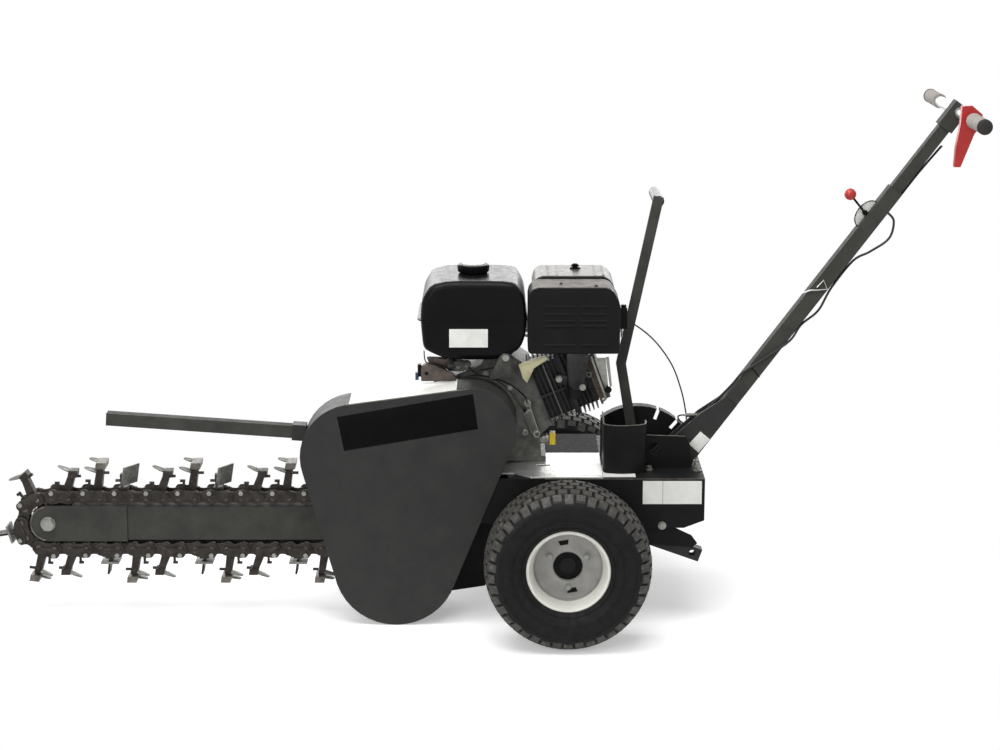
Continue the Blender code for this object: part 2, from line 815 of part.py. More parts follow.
def loop_place(distance):
    """The place and outward angle on the digging chain, measured from above the nose."""
    run, turn = BOOM_LENGTH, math.pi * CHAIN_PITCH_RADIUS
    distance %= 2 * (run + turn)
    if distance < run:
        return (NOSE_X + distance, SHAFT_Z + CHAIN_PITCH_RADIUS), math.pi / 2
    distance -= run
    if distance < turn:
        angle = math.pi / 2 - distance / CHAIN_PITCH_RADIUS
        return along((SHAFT_X, SHAFT_Z), angle, CHAIN_PITCH_RADIUS), angle
    distance -= turn
    if distance < run:
        return (SHAFT_X - distance, SHAFT_Z - CHAIN_PITCH_RADIUS), -math.pi / 2
    distance -= run
    angle = -math.pi / 2 - distance / CHAIN_PITCH_RADIUS
    return along((NOSE_X, SHAFT_Z), angle, CHAIN_PITCH_RADIUS), angle


def cutter_outline(kind, reach):
    """A cutter seen from the side, as (height, lean) points. It leans against the chain's travel."""
    foot = CHAIN_HALF_HEIGHT - 0.004
    if kind == "plate":
        return [(foot, -0.004), (foot, 0.004), (reach - 0.012, 0.004), (reach - 0.012, -0.004)]
    crown = reach if kind == "tall" else reach - 0.006
    return [
        (foot, -0.012),
        (foot, 0.010),
        (crown - 0.026, 0.003),
        (crown - 0.010, 0.001),
        (crown, -0.022),
        (crown - 0.009, -0.024),
        (crown - 0.030, -0.013),
    ]


CUTTER_KINDS = ("bent", "tall", "plate")
CUTTER_OFFSET = 0.030


def build_digging_chain():
    """The chain as one band round the boom, with a cutter on every second link."""
    reel = (
        (NOSE_X, SHAFT_Z, CHAIN_PITCH_RADIUS),
        (SHAFT_X, SHAFT_Z, CHAIN_PITCH_RADIUS),
    )
    outer = around(reel, CHAIN_HALF_HEIGHT, 32)
    inner = around(reel, -CHAIN_HALF_HEIGHT, 48)
    half = CHAIN_WIDTH / 2
    band = sheet("digging_chain", outer, BOOM_Y - half, BOOM_Y + half, [inner])
    loop = 2 * (BOOM_LENGTH + math.pi * CHAIN_PITCH_RADIUS)
    reach = CUTTER_REACH - CHAIN_PITCH_RADIUS
    cutters = []
    for i in range(CUTTER_COUNT):
        place, angle = loop_place(CUTTER_OFFSET + i * loop / CUTTER_COUNT)
        kind = CUTTER_KINDS[i % len(CUTTER_KINDS)]
        outline = [along(place, angle, height, -lean) for height, lean in cutter_outline(kind, reach)]
        width = CUTTER_WIDTH if kind == "plate" else CUTTER_WIDTH * 0.6
        cutters.append(sheet(f"cutter_{i}", outline, BOOM_Y - width / 2, BOOM_Y + width / 2))
    join(band, *cutters)
    attach(band, CHAIN_STEEL, BOOM)


# ---------------------------------------------------------------- engine

def build_crankcase():
    corner, tilt = CYLINDER_CORNER, CYLINDER_TILT
    face_low = along(corner, tilt, -GAP)
    face_high = along(corner, tilt, -GAP, 0.149)
    foot = DECK_TOP + SHEET + 2 * GAP
    outline = [
        (CASE_LEFT, foot),
        (-0.045, foot),
        (-0.045, foot + 0.012),
        (-0.056, foot + 0.014),
        (-0.060, 0.420),
        face_low,
        face_high,
        (-0.125, TANK_LOW[2] - GAP),
        (-0.185, TANK_LOW[2] - GAP),
        (-0.200, 0.588),
        (-0.268, 0.560),
        (-0.300, 0.500),
        (-0.303, foot + 0.014),
        (CASE_LEFT, foot + 0.012),
    ]
    attach(sheet("crankcase", outline, CASE_FRONT, CASE_BACK), CASTING, ROOT)
    cover = around(((CRANK_X, CRANK_Z, 0.100), (-0.150, 0.432, 0.072), (-0.255, 0.405, 0.045)), 0, 24)
    bore = circle(CRANK_X, CRANK_Z, CRANK_RADIUS + GAP)
    attach(sheet("crankcase_cover", cover, COVER_FRONT, CASE_FRONT - GAP, [bore]), CASTING, ROOT)


def build_cylinder():
    """The barrel and head: one casting with fins across it, and the rocker cover on its end."""
    pitch = CYLINDER_LENGTH / (2 * FIN_COUNT - 1)
    top, bottom = [], []
    for i in range(FIN_COUNT):
        start = 2 * i * pitch
        top += [(start, CYLINDER_HEIGHT), (start + pitch, CYLINDER_HEIGHT)]
        bottom += [(start, 0), (start + pitch, 0)]
        if i < FIN_COUNT - 1:
            top += [(start + pitch, CYLINDER_HEIGHT - FIN_DEPTH), (start + 2 * pitch, CYLINDER_HEIGHT - FIN_DEPTH)]
            bottom += [(start + pitch, FIN_DEPTH), (start + 2 * pitch, FIN_DEPTH)]
    outline = [along(CYLINDER_CORNER, CYLINDER_TILT, run, rise) for run, rise in bottom + top[::-1]]
    attach(sheet("cylinder", outline, COVER_FRONT, 0.070), FIN_METAL, ROOT)
    start = along(CYLINDER_CORNER, CYLINDER_TILT, CYLINDER_LENGTH + GAP, CYLINDER_HEIGHT / 2 - 0.014)
    end = along(start, CYLINDER_TILT, 0.026)
    cover = sheet("rocker_cover", strip(start, end, 0.116), -0.062, 0.052)
    attach(cover, FIN_METAL, ROOT)


def build_tank():
    low, high = TANK_LOW, TANK_HIGH
    outline = [
        (low[0] + 0.062, low[2]),
        (high[0] - 0.040, low[2]),
        (high[0], low[2] + 0.032),
        (high[0], high[2] - 0.050),
        (high[0] - 0.032, high[2]),
        (low[0] + 0.028, high[2]),
        (low[0], high[2] - 0.044),
        (low[0], low[2] + 0.026),
    ]
    tank = sheet("fuel_tank", outline, low[1], high[1])
    rounding = tank.modifiers.new("edges", "BEVEL")
    rounding.width = 0.012
    rounding.segments = 2
    attach(tank, PLASTIC, ROOT)
    x = (low[0] + high[0]) / 2
    pivot = empty("fuel_cap_pivot", (x, 0, high[2]), ROOT)
    profile = [
        (0, 0.026),
        (CAP_RADIUS - 0.006, 0.026),
        (CAP_RADIUS, 0.020),
        (CAP_RADIUS, 0.008),
        (CAP_RADIUS - 0.006, 0),
        (0, 0),
    ]
    cap = turned("fuel_cap", profile, (x, 0, high[2] + GAP), Matrix.Identity(4), 16)
    attach(cap, PLASTIC, pivot)


def build_exhaust():
    """The muffler in its slotted guard, and the pipe down to the cylinder's port."""
    low, high = MUFFLER_LOW, MUFFLER_HIGH
    inset = 0.012
    wall = 0.004
    body = box(
        "muffler",
        (low[0] + inset, low[1] + inset, low[2] + 0.020),
        (high[0] - inset, high[1] - inset, high[2] - inset),
        0.008,
        1,
    )
    pipe_radius = 0.017
    x, y = 0.020, COVER_FRONT - GAP - pipe_radius
    pipe = rod("exhaust_pipe", (x, y, 0.520), (x, y, 0.650), pipe_radius, 16)
    boss = rod("muffler_boss", (x, y, high[2] - 0.030), (x, y, high[2] - wall - GAP), 0.008, 12)
    join(body, pipe, boss)
    attach(body, FIN_METAL, ROOT)
    guard = box("muffler_guard", low, high, 2 * wall, 2)
    hollow = box(
        "muffler_guard_hollow",
        (low[0] + wall, low[1] + wall, low[2] - 0.02),
        (high[0] - wall, high[1] + 0.02, high[2] - wall),
    )
    slots = []
    for row in range(4):
        z = low[2] + 0.052 + 0.022 * row
        for column in range(2):
            x = low[0] + 0.030 + 0.082 * column
            slots.append(box(f"guard_slot_{row}_{column}", (x, low[1] - 0.02, z), (x + 0.070, low[1] + 0.02, z + 0.008)))
    cut(guard, hollow, *slots)
    attach(guard, PLASTIC, ROOT)


def build_air_cleaner():
    low, high = CLEANER_LOW, CLEANER_HIGH
    base = box("air_cleaner_base", low, (high[0], high[1], CLEANER_SPLIT), 0.010, 2)
    attach(base, PLASTIC, ROOT)
    cover_low = (low[0] - 0.003, low[1] + 0.001, CLEANER_SPLIT + GAP)
    cover = box("air_cleaner_cover", cover_low, (high[0] + 0.003, high[1] + 0.003, high[2] - 0.008), 0.014, 3)
    attach(cover, PLASTIC, ROOT)
    x, y, z = 0.0257, 0.100, high[2] - 0.008
    pivot = empty("cleaner_knob_pivot", (x, y, z), ROOT)
    profile = [(0, 0.012), (0.009, 0.012), (0.010, 0.004), (0.013, 0), (0, 0)]
    knob = turned("cleaner_knob", profile, (x, y, z + GAP), Matrix.Identity(4), 12)
    attach(knob, PLASTIC, pivot)
    carburettor = box("carburettor", (-0.030, 0.070 + GAP, 0.530), (0.030, 0.130, low[2] - GAP), 0.006, 1)
    attach(carburettor, CASTING, ROOT)


BLOWER_Z = DECK_TOP + SHEET + 3 * GAP + BLOWER_RADIUS


def build_blower():
    """The recoil starter's round housing on the flywheel side, and the pull grip on its face."""
    back = CASE_BACK + GAP
    profile = [
        (0, 0.094),
        (0.060, 0.094),
        (0.092, 0.082),
        (BLOWER_RADIUS, 0.050),
        (BLOWER_RADIUS, 0),
        (0, 0),
    ]
    housing = turned("blower_housing", profile, (CRANK_X, back, BLOWER_Z), Y_AXIS, 28)
    attach(housing, PLASTIC, ROOT)
    face = back + 0.094
    x, z = CRANK_X + 0.030, BLOWER_Z + 0.030
    pivot = empty("starter_grip_pivot", (x, face, z), ROOT)
    profile = [(0, 0.030), (0.009, 0.030), (0.011, 0.020), (0.006, 0.006), (0.006, 0), (0, 0)]
    grip = turned("starter_grip", profile, (x, face + GAP, z), Y_AXIS, 12)
    attach(grip, PLASTIC, pivot)


def build_engine_trim():
    box_low = (-0.338, COVER_FRONT - GAP - 0.024, 0.5597)
    control = box("control_box", box_low, (-0.262, COVER_FRONT - GAP, 0.589), 0.004, 1)
    attach(control, CASTING, ROOT)
    y, z = -0.045, 0.410
    neck = rod("oil_filler", (-0.0577, y, z), (-0.0365, y, z), 0.011, 16)
    attach(neck, CASTING, ROOT)
    pivot = empty("oil_cap_pivot", (-0.0365, y, z), ROOT)
    cap = box("oil_cap", (-0.0365 + GAP, y - 0.0135, z - 0.0135), (-0.023, y + 0.0135, z + 0.0135), 0.003, 1)
    attach(cap, YELLOW, pivot)


# ---------------------------------------------------------------- depth lever

def build_lever():
    """The depth lever: a bent flat bar on a cross shaft under the deck, with a side grip on top."""
    low, high = LEVER_Y - LEVER_THICK / 2, LEVER_Y + LEVER_THICK / 2
    pivot = (LEVER_X, LEVER_Z)
    lower = strip(pivot, LEVER_KINK, LEVER_WIDTH)
    upper = strip(LEVER_KINK, LEVER_TOP, LEVER_WIDTH)
    outline = [lower[0], lower[1], upper[1], upper[2], upper[3], lower[3]]
    bar = sheet("lever_bar", outline, low, high)
    hub = sheet("lever_hub", circle(*pivot, 0.020), LEVER_Y - 0.011, high)
    join(bar, hub)
    hole = rod(
        "lever_hole",
        (LEVER_X, LEVER_Y - 0.05, LEVER_Z),
        (LEVER_X, LEVER_Y + 0.05, LEVER_Z),
        LEVER_SHAFT_RADIUS + GAP,
    )
    cut(bar, hole)
    attach(bar, CHARCOAL, LEVER)
    y = high + GAP
    grip = rod(
        "lever_grip",
        (LEVER_TOP[0], y, LEVER_TOP[1] - 0.012),
        (LEVER_TOP[0], y + LEVER_GRIP_LENGTH, LEVER_TOP[1] - 0.012),
        GRIP_RADIUS,
        16,
    )
    attach(grip, PLASTIC, LEVER)
    inner = FRAME_HALF_WIDTH - SHEET - GAP
    shaft = rod("lever_shaft", (LEVER_X, -inner, LEVER_Z), (LEVER_X, inner, LEVER_Z), LEVER_SHAFT_RADIUS)
    attach(shaft, STEEL, ROOT)


def build_quadrant():
    """The arc that the lever's latch drops into, and the bowed shield in front of it."""
    floor = DECK_TOP + GAP
    start, end = 128, 30
    centre = (LEVER_X, LEVER_Z)
    arc = [along(centre, math.radians(a), QUADRANT_RADIUS) for a in range(end, start + 1, 7)]
    outline = [(arc[0][0], floor), *arc, (arc[-1][0], floor)]
    plate = sheet("quadrant_plate", outline, QUADRANT_Y, QUADRANT_Y + 0.005)
    inner_arc = [along(centre, math.radians(a), QUADRANT_RADIUS - 0.005) for a in range(start - 2, end, -7)]
    band = sheet("quadrant_band", arc + inner_arc, QUADRANT_Y + 0.002, QUADRANT_Y + 0.032)
    join(plate, band)
    notches = []
    for i, angle in enumerate(QUADRANT_SLOTS):
        direction = math.radians(90 - angle)
        low = along(centre, direction, QUADRANT_RADIUS - 0.026)
        high = along(centre, direction, QUADRANT_RADIUS + 0.02)
        notches.append(sheet(f"quadrant_slot_{i}", strip(low, high, 0.008), QUADRANT_Y - 0.02, QUADRANT_Y + 0.05))
    cut(plate, *notches)
    attach(plate, BLACK_PAINT, ROOT)
    route = ((0.088, -0.020), (0.0875, -0.140), (0.104, -0.155), (0.128, -0.159), (0.155, -0.156), (0.185, -0.144), (0.212, -0.124), (0.236, -0.106))
    wall = [(x, y, floor) for x, y in route] + [(x, y, SHIELD_TOP) for x, y in route]
    count = len(route)
    mesh = bpy.data.meshes.new("quadrant_shield")
    mesh.from_pydata(wall, [], [(i, i + 1, count + i + 1, count + i) for i in range(count - 1)])
    shield = mesh_object("quadrant_shield", mesh)
    thick = shield.modifiers.new("thickness", "SOLIDIFY")
    thick.thickness = 0.003
    thick.offset = -1
    attach(shield, BLACK_PAINT, ROOT)


# ---------------------------------------------------------------- mast and handle

def hollow_bar(name, start, angle, length, side, wall, y, inner_start=-0.02):
    """A square tube along a direction in the XZ plane, open at both ends."""
    end = along(start, angle, length)
    tube = sheet(name, strip(start, end, side), y - side / 2, y + side / 2)
    inner = side - 2 * wall
    bore_start = along(start, angle, inner_start)
    bore_end = along(end, angle, 0.02)
    bore = sheet(name + "_bore", strip(bore_start, bore_end, inner), y - inner / 2, y + inner / 2)
    return cut(tube, bore)


def build_mast():
    tube = hollow_bar("mast_tube", MAST_FOOT, MAST_TILT, MAST_LENGTH, MAST_SIDE, MAST_WALL, MAST_Y)
    attach(tube, CHARCOAL, ROOT)
    floor = DECK_TOP + GAP
    half = MAST_SIDE / 2 + GAP
    cheek = 0.005
    gusset = [
        (0.180, floor),
        (0.298, floor),
        along(MAST_FOOT, MAST_TILT, 0.030, -MAST_SIDE / 2),
        along(MAST_FOOT, MAST_TILT, 0.170, -MAST_SIDE / 2),
        along(MAST_FOOT, MAST_TILT, 0.170, MAST_SIDE / 2),
        (0.314, 0.474),
    ]
    bracket = sheet("mast_bracket", gusset, MAST_Y - half - cheek, MAST_Y - half)
    far = sheet("mast_far_cheek", gusset, MAST_Y + half, MAST_Y + half + cheek)
    web = box(
        "mast_web",
        (0.200, MAST_Y - half - 0.001, floor),
        (0.296, MAST_Y + half + 0.001, floor + SHEET),
    )
    join(bracket, far, web)
    attach(bracket, CHARCOAL, ROOT)
    side = [(0.189, floor), (0.292, floor), (0.292, 0.404), (0.280, 0.427), (0.189, 0.430)]
    near_y = MAST_Y - half - cheek - 0.022
    plate = sheet("mast_side_plate", side, near_y - 0.005, near_y, [circle(0.2085, 0.398, 0.0145)])
    attach(plate, BLACK_PAINT, ROOT)


HANDLE_TRAVEL = 0.120
HANDLE_TOP = along(MAST_FOOT, MAST_TILT, MAST_LENGTH + HANDLE_REACH)
BAR_X, BAR_Z = along(HANDLE_TOP, MAST_TILT, BAR_RADIUS + 0.006, -0.004)


def build_handle():
    """The inner tube that slides in the mast, with the cross bar, its grips and the clutch lever."""
    start = along(MAST_FOOT, MAST_TILT, MAST_LENGTH - HANDLE_INSERT)
    pivot = empty("handle_pivot", (start[0], MAST_Y, start[1]), ROOT)
    length = HANDLE_INSERT + HANDLE_REACH
    tube = hollow_bar("handle_tube", start, MAST_TILT, length, HANDLE_SIDE, 0.002, MAST_Y)
    half = HANDLE_SIDE / 2
    cradle = sheet(
        "handle_cradle",
        strip(along(HANDLE_TOP, MAST_TILT, -0.030), along(HANDLE_TOP, MAST_TILT, 0.036), 0.038),
        MAST_Y - half - 0.005,
        MAST_Y + half + 0.005,
    )
    join(tube, cradle)
    bar_hole = rod(
        "handlebar_hole", (BAR_X, MAST_Y - 0.1, BAR_Z), (BAR_X, MAST_Y + 0.1, BAR_Z), BAR_RADIUS + GAP
    )
    cut(tube, bar_hole)
    attach(tube, CHARCOAL, pivot)
    near_bar, far_bar = BAR_NEAR_Y + 0.003, BAR_FAR_Y - 0.003
    bar = rod("handlebar", (BAR_X, near_bar, BAR_Z), (BAR_X, far_bar, BAR_Z), BAR_RADIUS)
    attach(bar, ZINC, pivot)
    cap = 0.004
    bore = BAR_RADIUS + GAP
    profile = [
        (0, cap),
        (HAND_GRIP_RADIUS, cap),
        (HAND_GRIP_RADIUS + 0.002, 0),
        (HAND_GRIP_RADIUS, -0.006),
        (HAND_GRIP_RADIUS, -GRIP_LENGTH + 0.006),
        (HAND_GRIP_RADIUS + 0.002, -GRIP_LENGTH),
        (bore, -GRIP_LENGTH),
        (bore, GAP),
        (0, GAP),
    ]
    for side, y, sign in (("near", near_bar, -1), ("far", far_bar, 1)):
        outward = Matrix.Rotation(math.radians(-90 * sign), 4, "X")
        grip = turned("grip_" + side, profile, (BAR_X, y, BAR_Z), outward, 16)
        attach(grip, GRIP_RUBBER, pivot)
    build_clutch_lever(pivot)


CLUTCH_Y = -0.205


def build_clutch_lever(handle):
    """The red lever that hangs below the bar, on a ring clamped round the bar."""
    top = (BAR_X - 0.014, BAR_Z + 0.024)
    pivot = empty("clutch_pivot", (BAR_X, CLUTCH_Y, BAR_Z), handle)
    ring_hole = circle(BAR_X, BAR_Z, BAR_RADIUS + GAP)
    outline = [
        (top[0] - 0.010, top[1] + 0.006),
        (top[0] + 0.012, top[1] + 0.008),
        (BAR_X + 0.022, BAR_Z + 0.012),
        (BAR_X + 0.022, BAR_Z - 0.012),
        (BAR_X + 0.006, BAR_Z - 0.030),
        (BAR_X - 0.022, BAR_Z - 0.105),
        (BAR_X - 0.036, BAR_Z - 0.105),
        (BAR_X - 0.034, BAR_Z - 0.060),
        (BAR_X - 0.026, BAR_Z - 0.010),
    ]
    blade = sheet("clutch_lever", outline, CLUTCH_Y - 0.009, CLUTCH_Y + 0.009, [ring_hole])
    attach(blade, RED, pivot)


THROTTLE_RUN = 0.704


def build_throttle():
    """The throttle: a half-round plate on the mast, and the lever with its round knob."""
    base = along(MAST_FOOT, MAST_TILT, THROTTLE_RUN, MAST_SIDE / 2 + GAP)
    rim = [
        along(base, MAST_TILT, 0.036 * math.cos(a), 0.024 * math.sin(a))
        for a in [math.pi * i / 12 for i in range(13)]
    ]
    plate = sheet("throttle_bracket", rim, MAST_Y - 0.004, MAST_Y + 0.004)
    attach(plate, PLASTIC, ROOT)
    at = along(base, MAST_TILT, 0.0, 0.006)
    y = MAST_Y - 0.004 - GAP
    pivot = empty("throttle_pivot", (at[0], y, at[1]), ROOT)
    tip = along(base, MAST_TILT, 0.0135, 0.060)
    arm = sheet("throttle_lever", strip(at, tip, 0.008), y - 0.006, y)
    shape = bmesh.new()
    bmesh.ops.create_uvsphere(shape, u_segments=14, v_segments=8, radius=0.014)
    knob = from_bmesh("throttle_knob", shape, smooth=True)
    knob.location = (tip[0], y - 0.003, tip[1])
    join(arm, knob)
    attach(arm, RED, pivot)


# ---------------------------------------------------------------- cables

def build_cables():
    """The throttle and clutch cables down the mast, and the thin cable to the lever's latch."""
    under = -MAST_SIDE / 2 - CABLE_RADIUS - 0.0008
    corner = MAST_SIDE / 2 + 0.0034
    joint = (0.310, 0.466)

    def beside(run, rise, y):
        x, z = along(MAST_FOOT, MAST_TILT, run, rise)
        return (x, y, z)

    throttle = [
        beside(0.735, under, MAST_Y - 0.004),
        beside(0.728, under - 0.022, MAST_Y - 0.005),
        beside(0.690, under - 0.038, MAST_Y - 0.006),
        beside(0.640, under - 0.022, MAST_Y - 0.006),
        beside(0.600, under - 0.004, MAST_Y - 0.006),
        beside(0.520, under - 0.003, MAST_Y - 0.006),
        beside(0.460, under - 0.012, MAST_Y - 0.006),
        beside(0.410, under, MAST_Y - 0.010),
        beside(0.365, -corner, MAST_Y - corner),
        beside(0.300, 0.0, MAST_Y + under),
        beside(0.240, corner, MAST_Y - corner),
        beside(0.205, -under, MAST_Y - 0.010),
        beside(0.165, -under + 0.003, MAST_Y - 0.004),
        (joint[0] + 0.020, MAST_Y, joint[1] + 0.012),
        (joint[0], MAST_Y, joint[1]),
    ]
    cable = as_mesh(wire("throttle_cable", throttle, CABLE_RADIUS))
    barrel_end = (joint[0] - 0.027, MAST_Y, joint[1])
    barrel = rod("cable_barrel", barrel_end, (joint[0], MAST_Y, joint[1]), 0.0048, 12)
    join(cable, barrel)
    attach(cable, PLASTIC, ROOT)
    clutch = [
        beside(0.930, under - 0.004, MAST_Y + 0.008),
        beside(0.850, under, MAST_Y + 0.008),
        beside(0.760, under, MAST_Y + 0.008),
        beside(0.640, under, MAST_Y + 0.008),
        beside(0.500, under, MAST_Y + 0.008),
        beside(0.340, under, MAST_Y + 0.008),
        beside(0.160, under, MAST_Y + 0.008),
    ]
    attach(wire("clutch_cable", clutch, CABLE_RADIUS), PLASTIC, ROOT)
    thin = [
        (CLEANER_HIGH[0] + THIN_CABLE_RADIUS + 0.0005, 0.105, 0.668),
        (0.165, 0.100, 0.655),
        (0.215, 0.085, 0.618),
        (0.258, 0.078, 0.560),
        (0.281, 0.062, 0.500),
        (0.291, 0.040, 0.452),
        (0.291, 0.018, 0.435),
        (0.288, -0.005, 0.433),
        (0.272, -0.027, 0.447),
        (0.266, MAST_Y + 0.006, 0.461),
        (0.273, MAST_Y, joint[1]),
        (barrel_end[0] - 0.0009, MAST_Y, joint[1]),
    ]
    attach(wire("lever_cable", thin, THIN_CABLE_RADIUS), PLASTIC, ROOT)


# ---------------------------------------------------------------- assembly

def centre_on_ground():
    """Slides the root so that the origin is the bottom centre of the whole object's box."""
    bpy.context.view_layer.update()
    graph = bpy.context.evaluated_depsgraph_get()
    corners = []
    for obj in PARTS.objects:
        if obj.type != "EMPTY":
            solid = obj.evaluated_get(graph)
            mesh = solid.to_mesh()
            corners += [solid.matrix_world @ v.co for v in mesh.vertices]
            solid.to_mesh_clear()
    low = [min(p[i] for p in corners) for i in range(3)]
    high = [max(p[i] for p in corners) for i in range(3)]
    ROOT.location = (-(low[0] + high[0]) / 2, -(low[1] + high[1]) / 2, -low[2])


build_wheel("near", -1)
build_wheel("far", 1)
build_axle()
build_frame()
build_engine_plate()
build_hitch()
build_guard()
build_drive()
build_crank()
build_primary_chain()
build_boom()
build_digging_chain()
build_crankcase()
build_cylinder()
build_tank()
build_exhaust()
build_air_cleaner()
build_blower()
build_engine_trim()
build_lever()
build_quadrant()
build_mast()
build_handle()
build_throttle()
build_cables()
centre_on_ground()
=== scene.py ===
import math

import bmesh
import bpy
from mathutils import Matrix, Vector


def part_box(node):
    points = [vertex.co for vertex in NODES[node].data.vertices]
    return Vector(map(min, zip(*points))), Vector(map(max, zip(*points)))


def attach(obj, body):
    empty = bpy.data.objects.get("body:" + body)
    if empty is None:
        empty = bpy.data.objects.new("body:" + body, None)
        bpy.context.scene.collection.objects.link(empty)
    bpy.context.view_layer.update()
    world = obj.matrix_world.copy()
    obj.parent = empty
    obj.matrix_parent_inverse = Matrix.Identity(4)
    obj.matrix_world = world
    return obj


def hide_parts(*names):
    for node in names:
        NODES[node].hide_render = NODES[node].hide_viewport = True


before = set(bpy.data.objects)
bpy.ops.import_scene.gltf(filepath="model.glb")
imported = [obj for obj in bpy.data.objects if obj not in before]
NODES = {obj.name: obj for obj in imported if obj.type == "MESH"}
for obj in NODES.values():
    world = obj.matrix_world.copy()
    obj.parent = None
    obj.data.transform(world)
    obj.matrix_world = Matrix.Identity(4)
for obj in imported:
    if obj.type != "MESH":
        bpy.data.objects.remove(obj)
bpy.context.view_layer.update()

MM = 0.001

# Every piece is drawn in millimetres with the wheel axle at X = 0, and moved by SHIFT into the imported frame.
AXLE_X = sum(corner.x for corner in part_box("near_rim")) / 2
SHIFT = Vector((AXLE_X, 0, 0))


# ---------------------------------------------------------------- materials

# Name, colour, second colour, colour of the wear marks, lowest and highest roughness, where the marks start and
# are full, how metallic, gloss, patches per metre, grains per metre, and their depth in hundredths of a
# millimetre.
FINISHES = (
    ("charcoal_paint", 0x2e2f2d, 0x262726, 0x54524c, (0.42, 0.56), (0.7, 0.8), 0, 0.22, 18, 1400, 4),
    # The charcoal paint made lighter, which paints the light these bars catch.
    ("charcoal_paint_painted_light", 0x42423e, 0x363634, 0x625e56, (0.56, 0.7), (0.68, 0.8), 0, 0.1, 18, 1400, 4),
    ("black_paint", 0x181818, 0x121212, 0x4e4c48, (0.38, 0.54), (0.7, 0.82), 0, 0.1, 18, 1300, 4),
    ("zinc_plate", 0xd6d8d6, 0xbcbeba, 0x969288, (0.28, 0.46), (0.7, 0.84), 0.85, 0.5, 30, 700, 4),
    ("bare_steel", 0x96948e, 0x706c66, 0x564230, (0.3, 0.5), (0.66, 0.78), 0.9, 0.5, 40, 800, 4),
    ("chain_steel", 0x3a3632, 0x24201e, 0x68523e, (0.38, 0.62), (0.6, 0.74), 0.45, 0.3, 60, 600, 10),
    ("cast_aluminium", 0x686864, 0x4c4c48, 0x96948c, (0.42, 0.62), (0.62, 0.76), 0.6, 0.5, 45, 900, 14),
    ("fin_metal", 0x2c2c2c, 0x1e1e1f, 0x605e5a, (0.4, 0.58), (0.66, 0.8), 0.4, 0.3, 45, 800, 10),
    ("black_plastic", 0x0f0f11, 0x0b0b0c, 0x2e2e30, (0.24, 0.36), (0.74, 0.86), 0, 0.09, 22, 1700, 5),
    ("tyre_rubber", 0x121212, 0x0c0c0c, 0x42403c, (0.55, 0.8), (0.66, 0.8), 0, 0.2, 26, 1100, 8),
    ("white_paint", 0xe2e1da, 0xd4d3cb, 0xb0aa9e, (0.28, 0.42), (0.74, 0.86), 0, 0.4, 20, 1500, 4),
    ("grey_grip", 0x9c9591, 0x8c8682, 0x706a66, (0.6, 0.8), (0.7, 0.84), 0, 0.3, 40, 1000, 10),
    ("red_plastic", 0xb22e2a, 0x9c2220, 0xce6058, (0.28, 0.42), (0.72, 0.86), 0, 0.45, 30, 1500, 4),
    ("yellow_plastic", 0xd8be26, 0xc6a81a, 0x967e28, (0.32, 0.46), (0.7, 0.84), 0, 0.45, 40, 1500, 4),
    ("label_film", 0xe2e2de, 0xd6d6d1, 0xbab8b2, (0.3, 0.42), (0.74, 0.88), 0, 0.4, 35, 1800, 2),
    ("dark_label_film", 0x0a0a0b, 0x070708, 0x262626, (0.24, 0.34), (0.76, 0.9), 0, 0.06, 35, 1800, 2),
    ("nut_steel", 0x9c9c96, 0x80807a, 0x8c867a, (0.25, 0.42), (0.68, 0.82), 0.75, 0.5, 60, 900, 4),
    ("tooth_steel", 0x858580, 0x646460, 0x60584e, (0.34, 0.55), (0.62, 0.76), 0.45, 0.5, 90, 900, 10),
    # Worn steel, also used for pale lines that are painted highlights on edges.
    ("worn_steel_and_painted_highlight", 0x706c66, 0x4a4640, 0x96928a, (0.36, 0.55), (0.62, 0.76), 0.6, 0.5, 70, 900, 10),
    # Flat near-black that paints the shade inside holes, slots and gaps.
    ("painted_shade_dark", 0x161616, 0x0c0c0c, 0x282622, (0.6, 0.8), (0.7, 0.84), 0, 0.1, 60, 900, 4),
    ("dark_iron", 0x4a4a46, 0x363634, 0x78746c, (0.42, 0.6), (0.64, 0.78), 0.35, 0.3, 50, 900, 10),
    ("heat_browned_metal", 0x605650, 0x463f3a, 0x8c8074, (0.4, 0.58), (0.64, 0.78), 0.5, 0.3, 40, 900, 10),
    ("pale_aluminium", 0x96968e, 0x767670, 0x5c5a54, (0.38, 0.56), (0.64, 0.78), 0.55, 0.5, 50, 900, 10),
    ("chromated_steel", 0xd0cca8, 0xb6b28c, 0xe8e6ce, (0.3, 0.46), (0.64, 0.78), 0.4, 0.5, 60, 1000, 4),
    ("grey_plastic", 0xcececa, 0xb8b8b4, 0xe2e2de, (0.3, 0.46), (0.68, 0.82), 0, 0.4, 50, 1500, 4),
    ("dark_blue_plastic", 0x2c3e5c, 0x202e48, 0x54647c, (0.34, 0.5), (0.68, 0.82), 0, 0.4, 60, 1500, 4),
    ("dark_grip_end", 0x302e2d, 0x242322, 0x504d4a, (0.5, 0.7), (0.7, 0.84), 0, 0.3, 40, 1000, 10),
    ("cable_sheath", 0x222224, 0x18181a, 0x4e4e50, (0.36, 0.5), (0.7, 0.84), 0, 0.35, 40, 1600, 4),
    # Paler rubber for the tread blocks: wear, and painted light on their tops.
    ("tread_rubber_wear_and_painted_light", 0x3e3d39, 0x282725, 0x706c64, (0.5, 0.72), (0.55, 0.72), 0, 0.4, 60, 900, 10),
    # The rim's white paint darkened with painted shade, for its dish.
    ("white_paint_painted_shade", 0x969591, 0x807f7b, 0x68645e, (0.32, 0.46), (0.7, 0.84), 0, 0.35, 26, 1300, 4),
)
PATCH_EDGES = (0.35, 0.68)
WEAR_SCALE = 95
GRAIN_STRENGTH = 0.5
# Like which finish, and the pale colour on its upward faces, which is dust and painted top light.
DUST_AND_PAINTED_LIGHT = {
    "black_paint_dust_and_painted_light": ("black_paint", 0x46413c),
    "black_plastic_dust_and_painted_light": ("black_plastic", 0x4c4742),
}
DUST_AND_LIGHT_SLOPES = (0.35, 0.95)

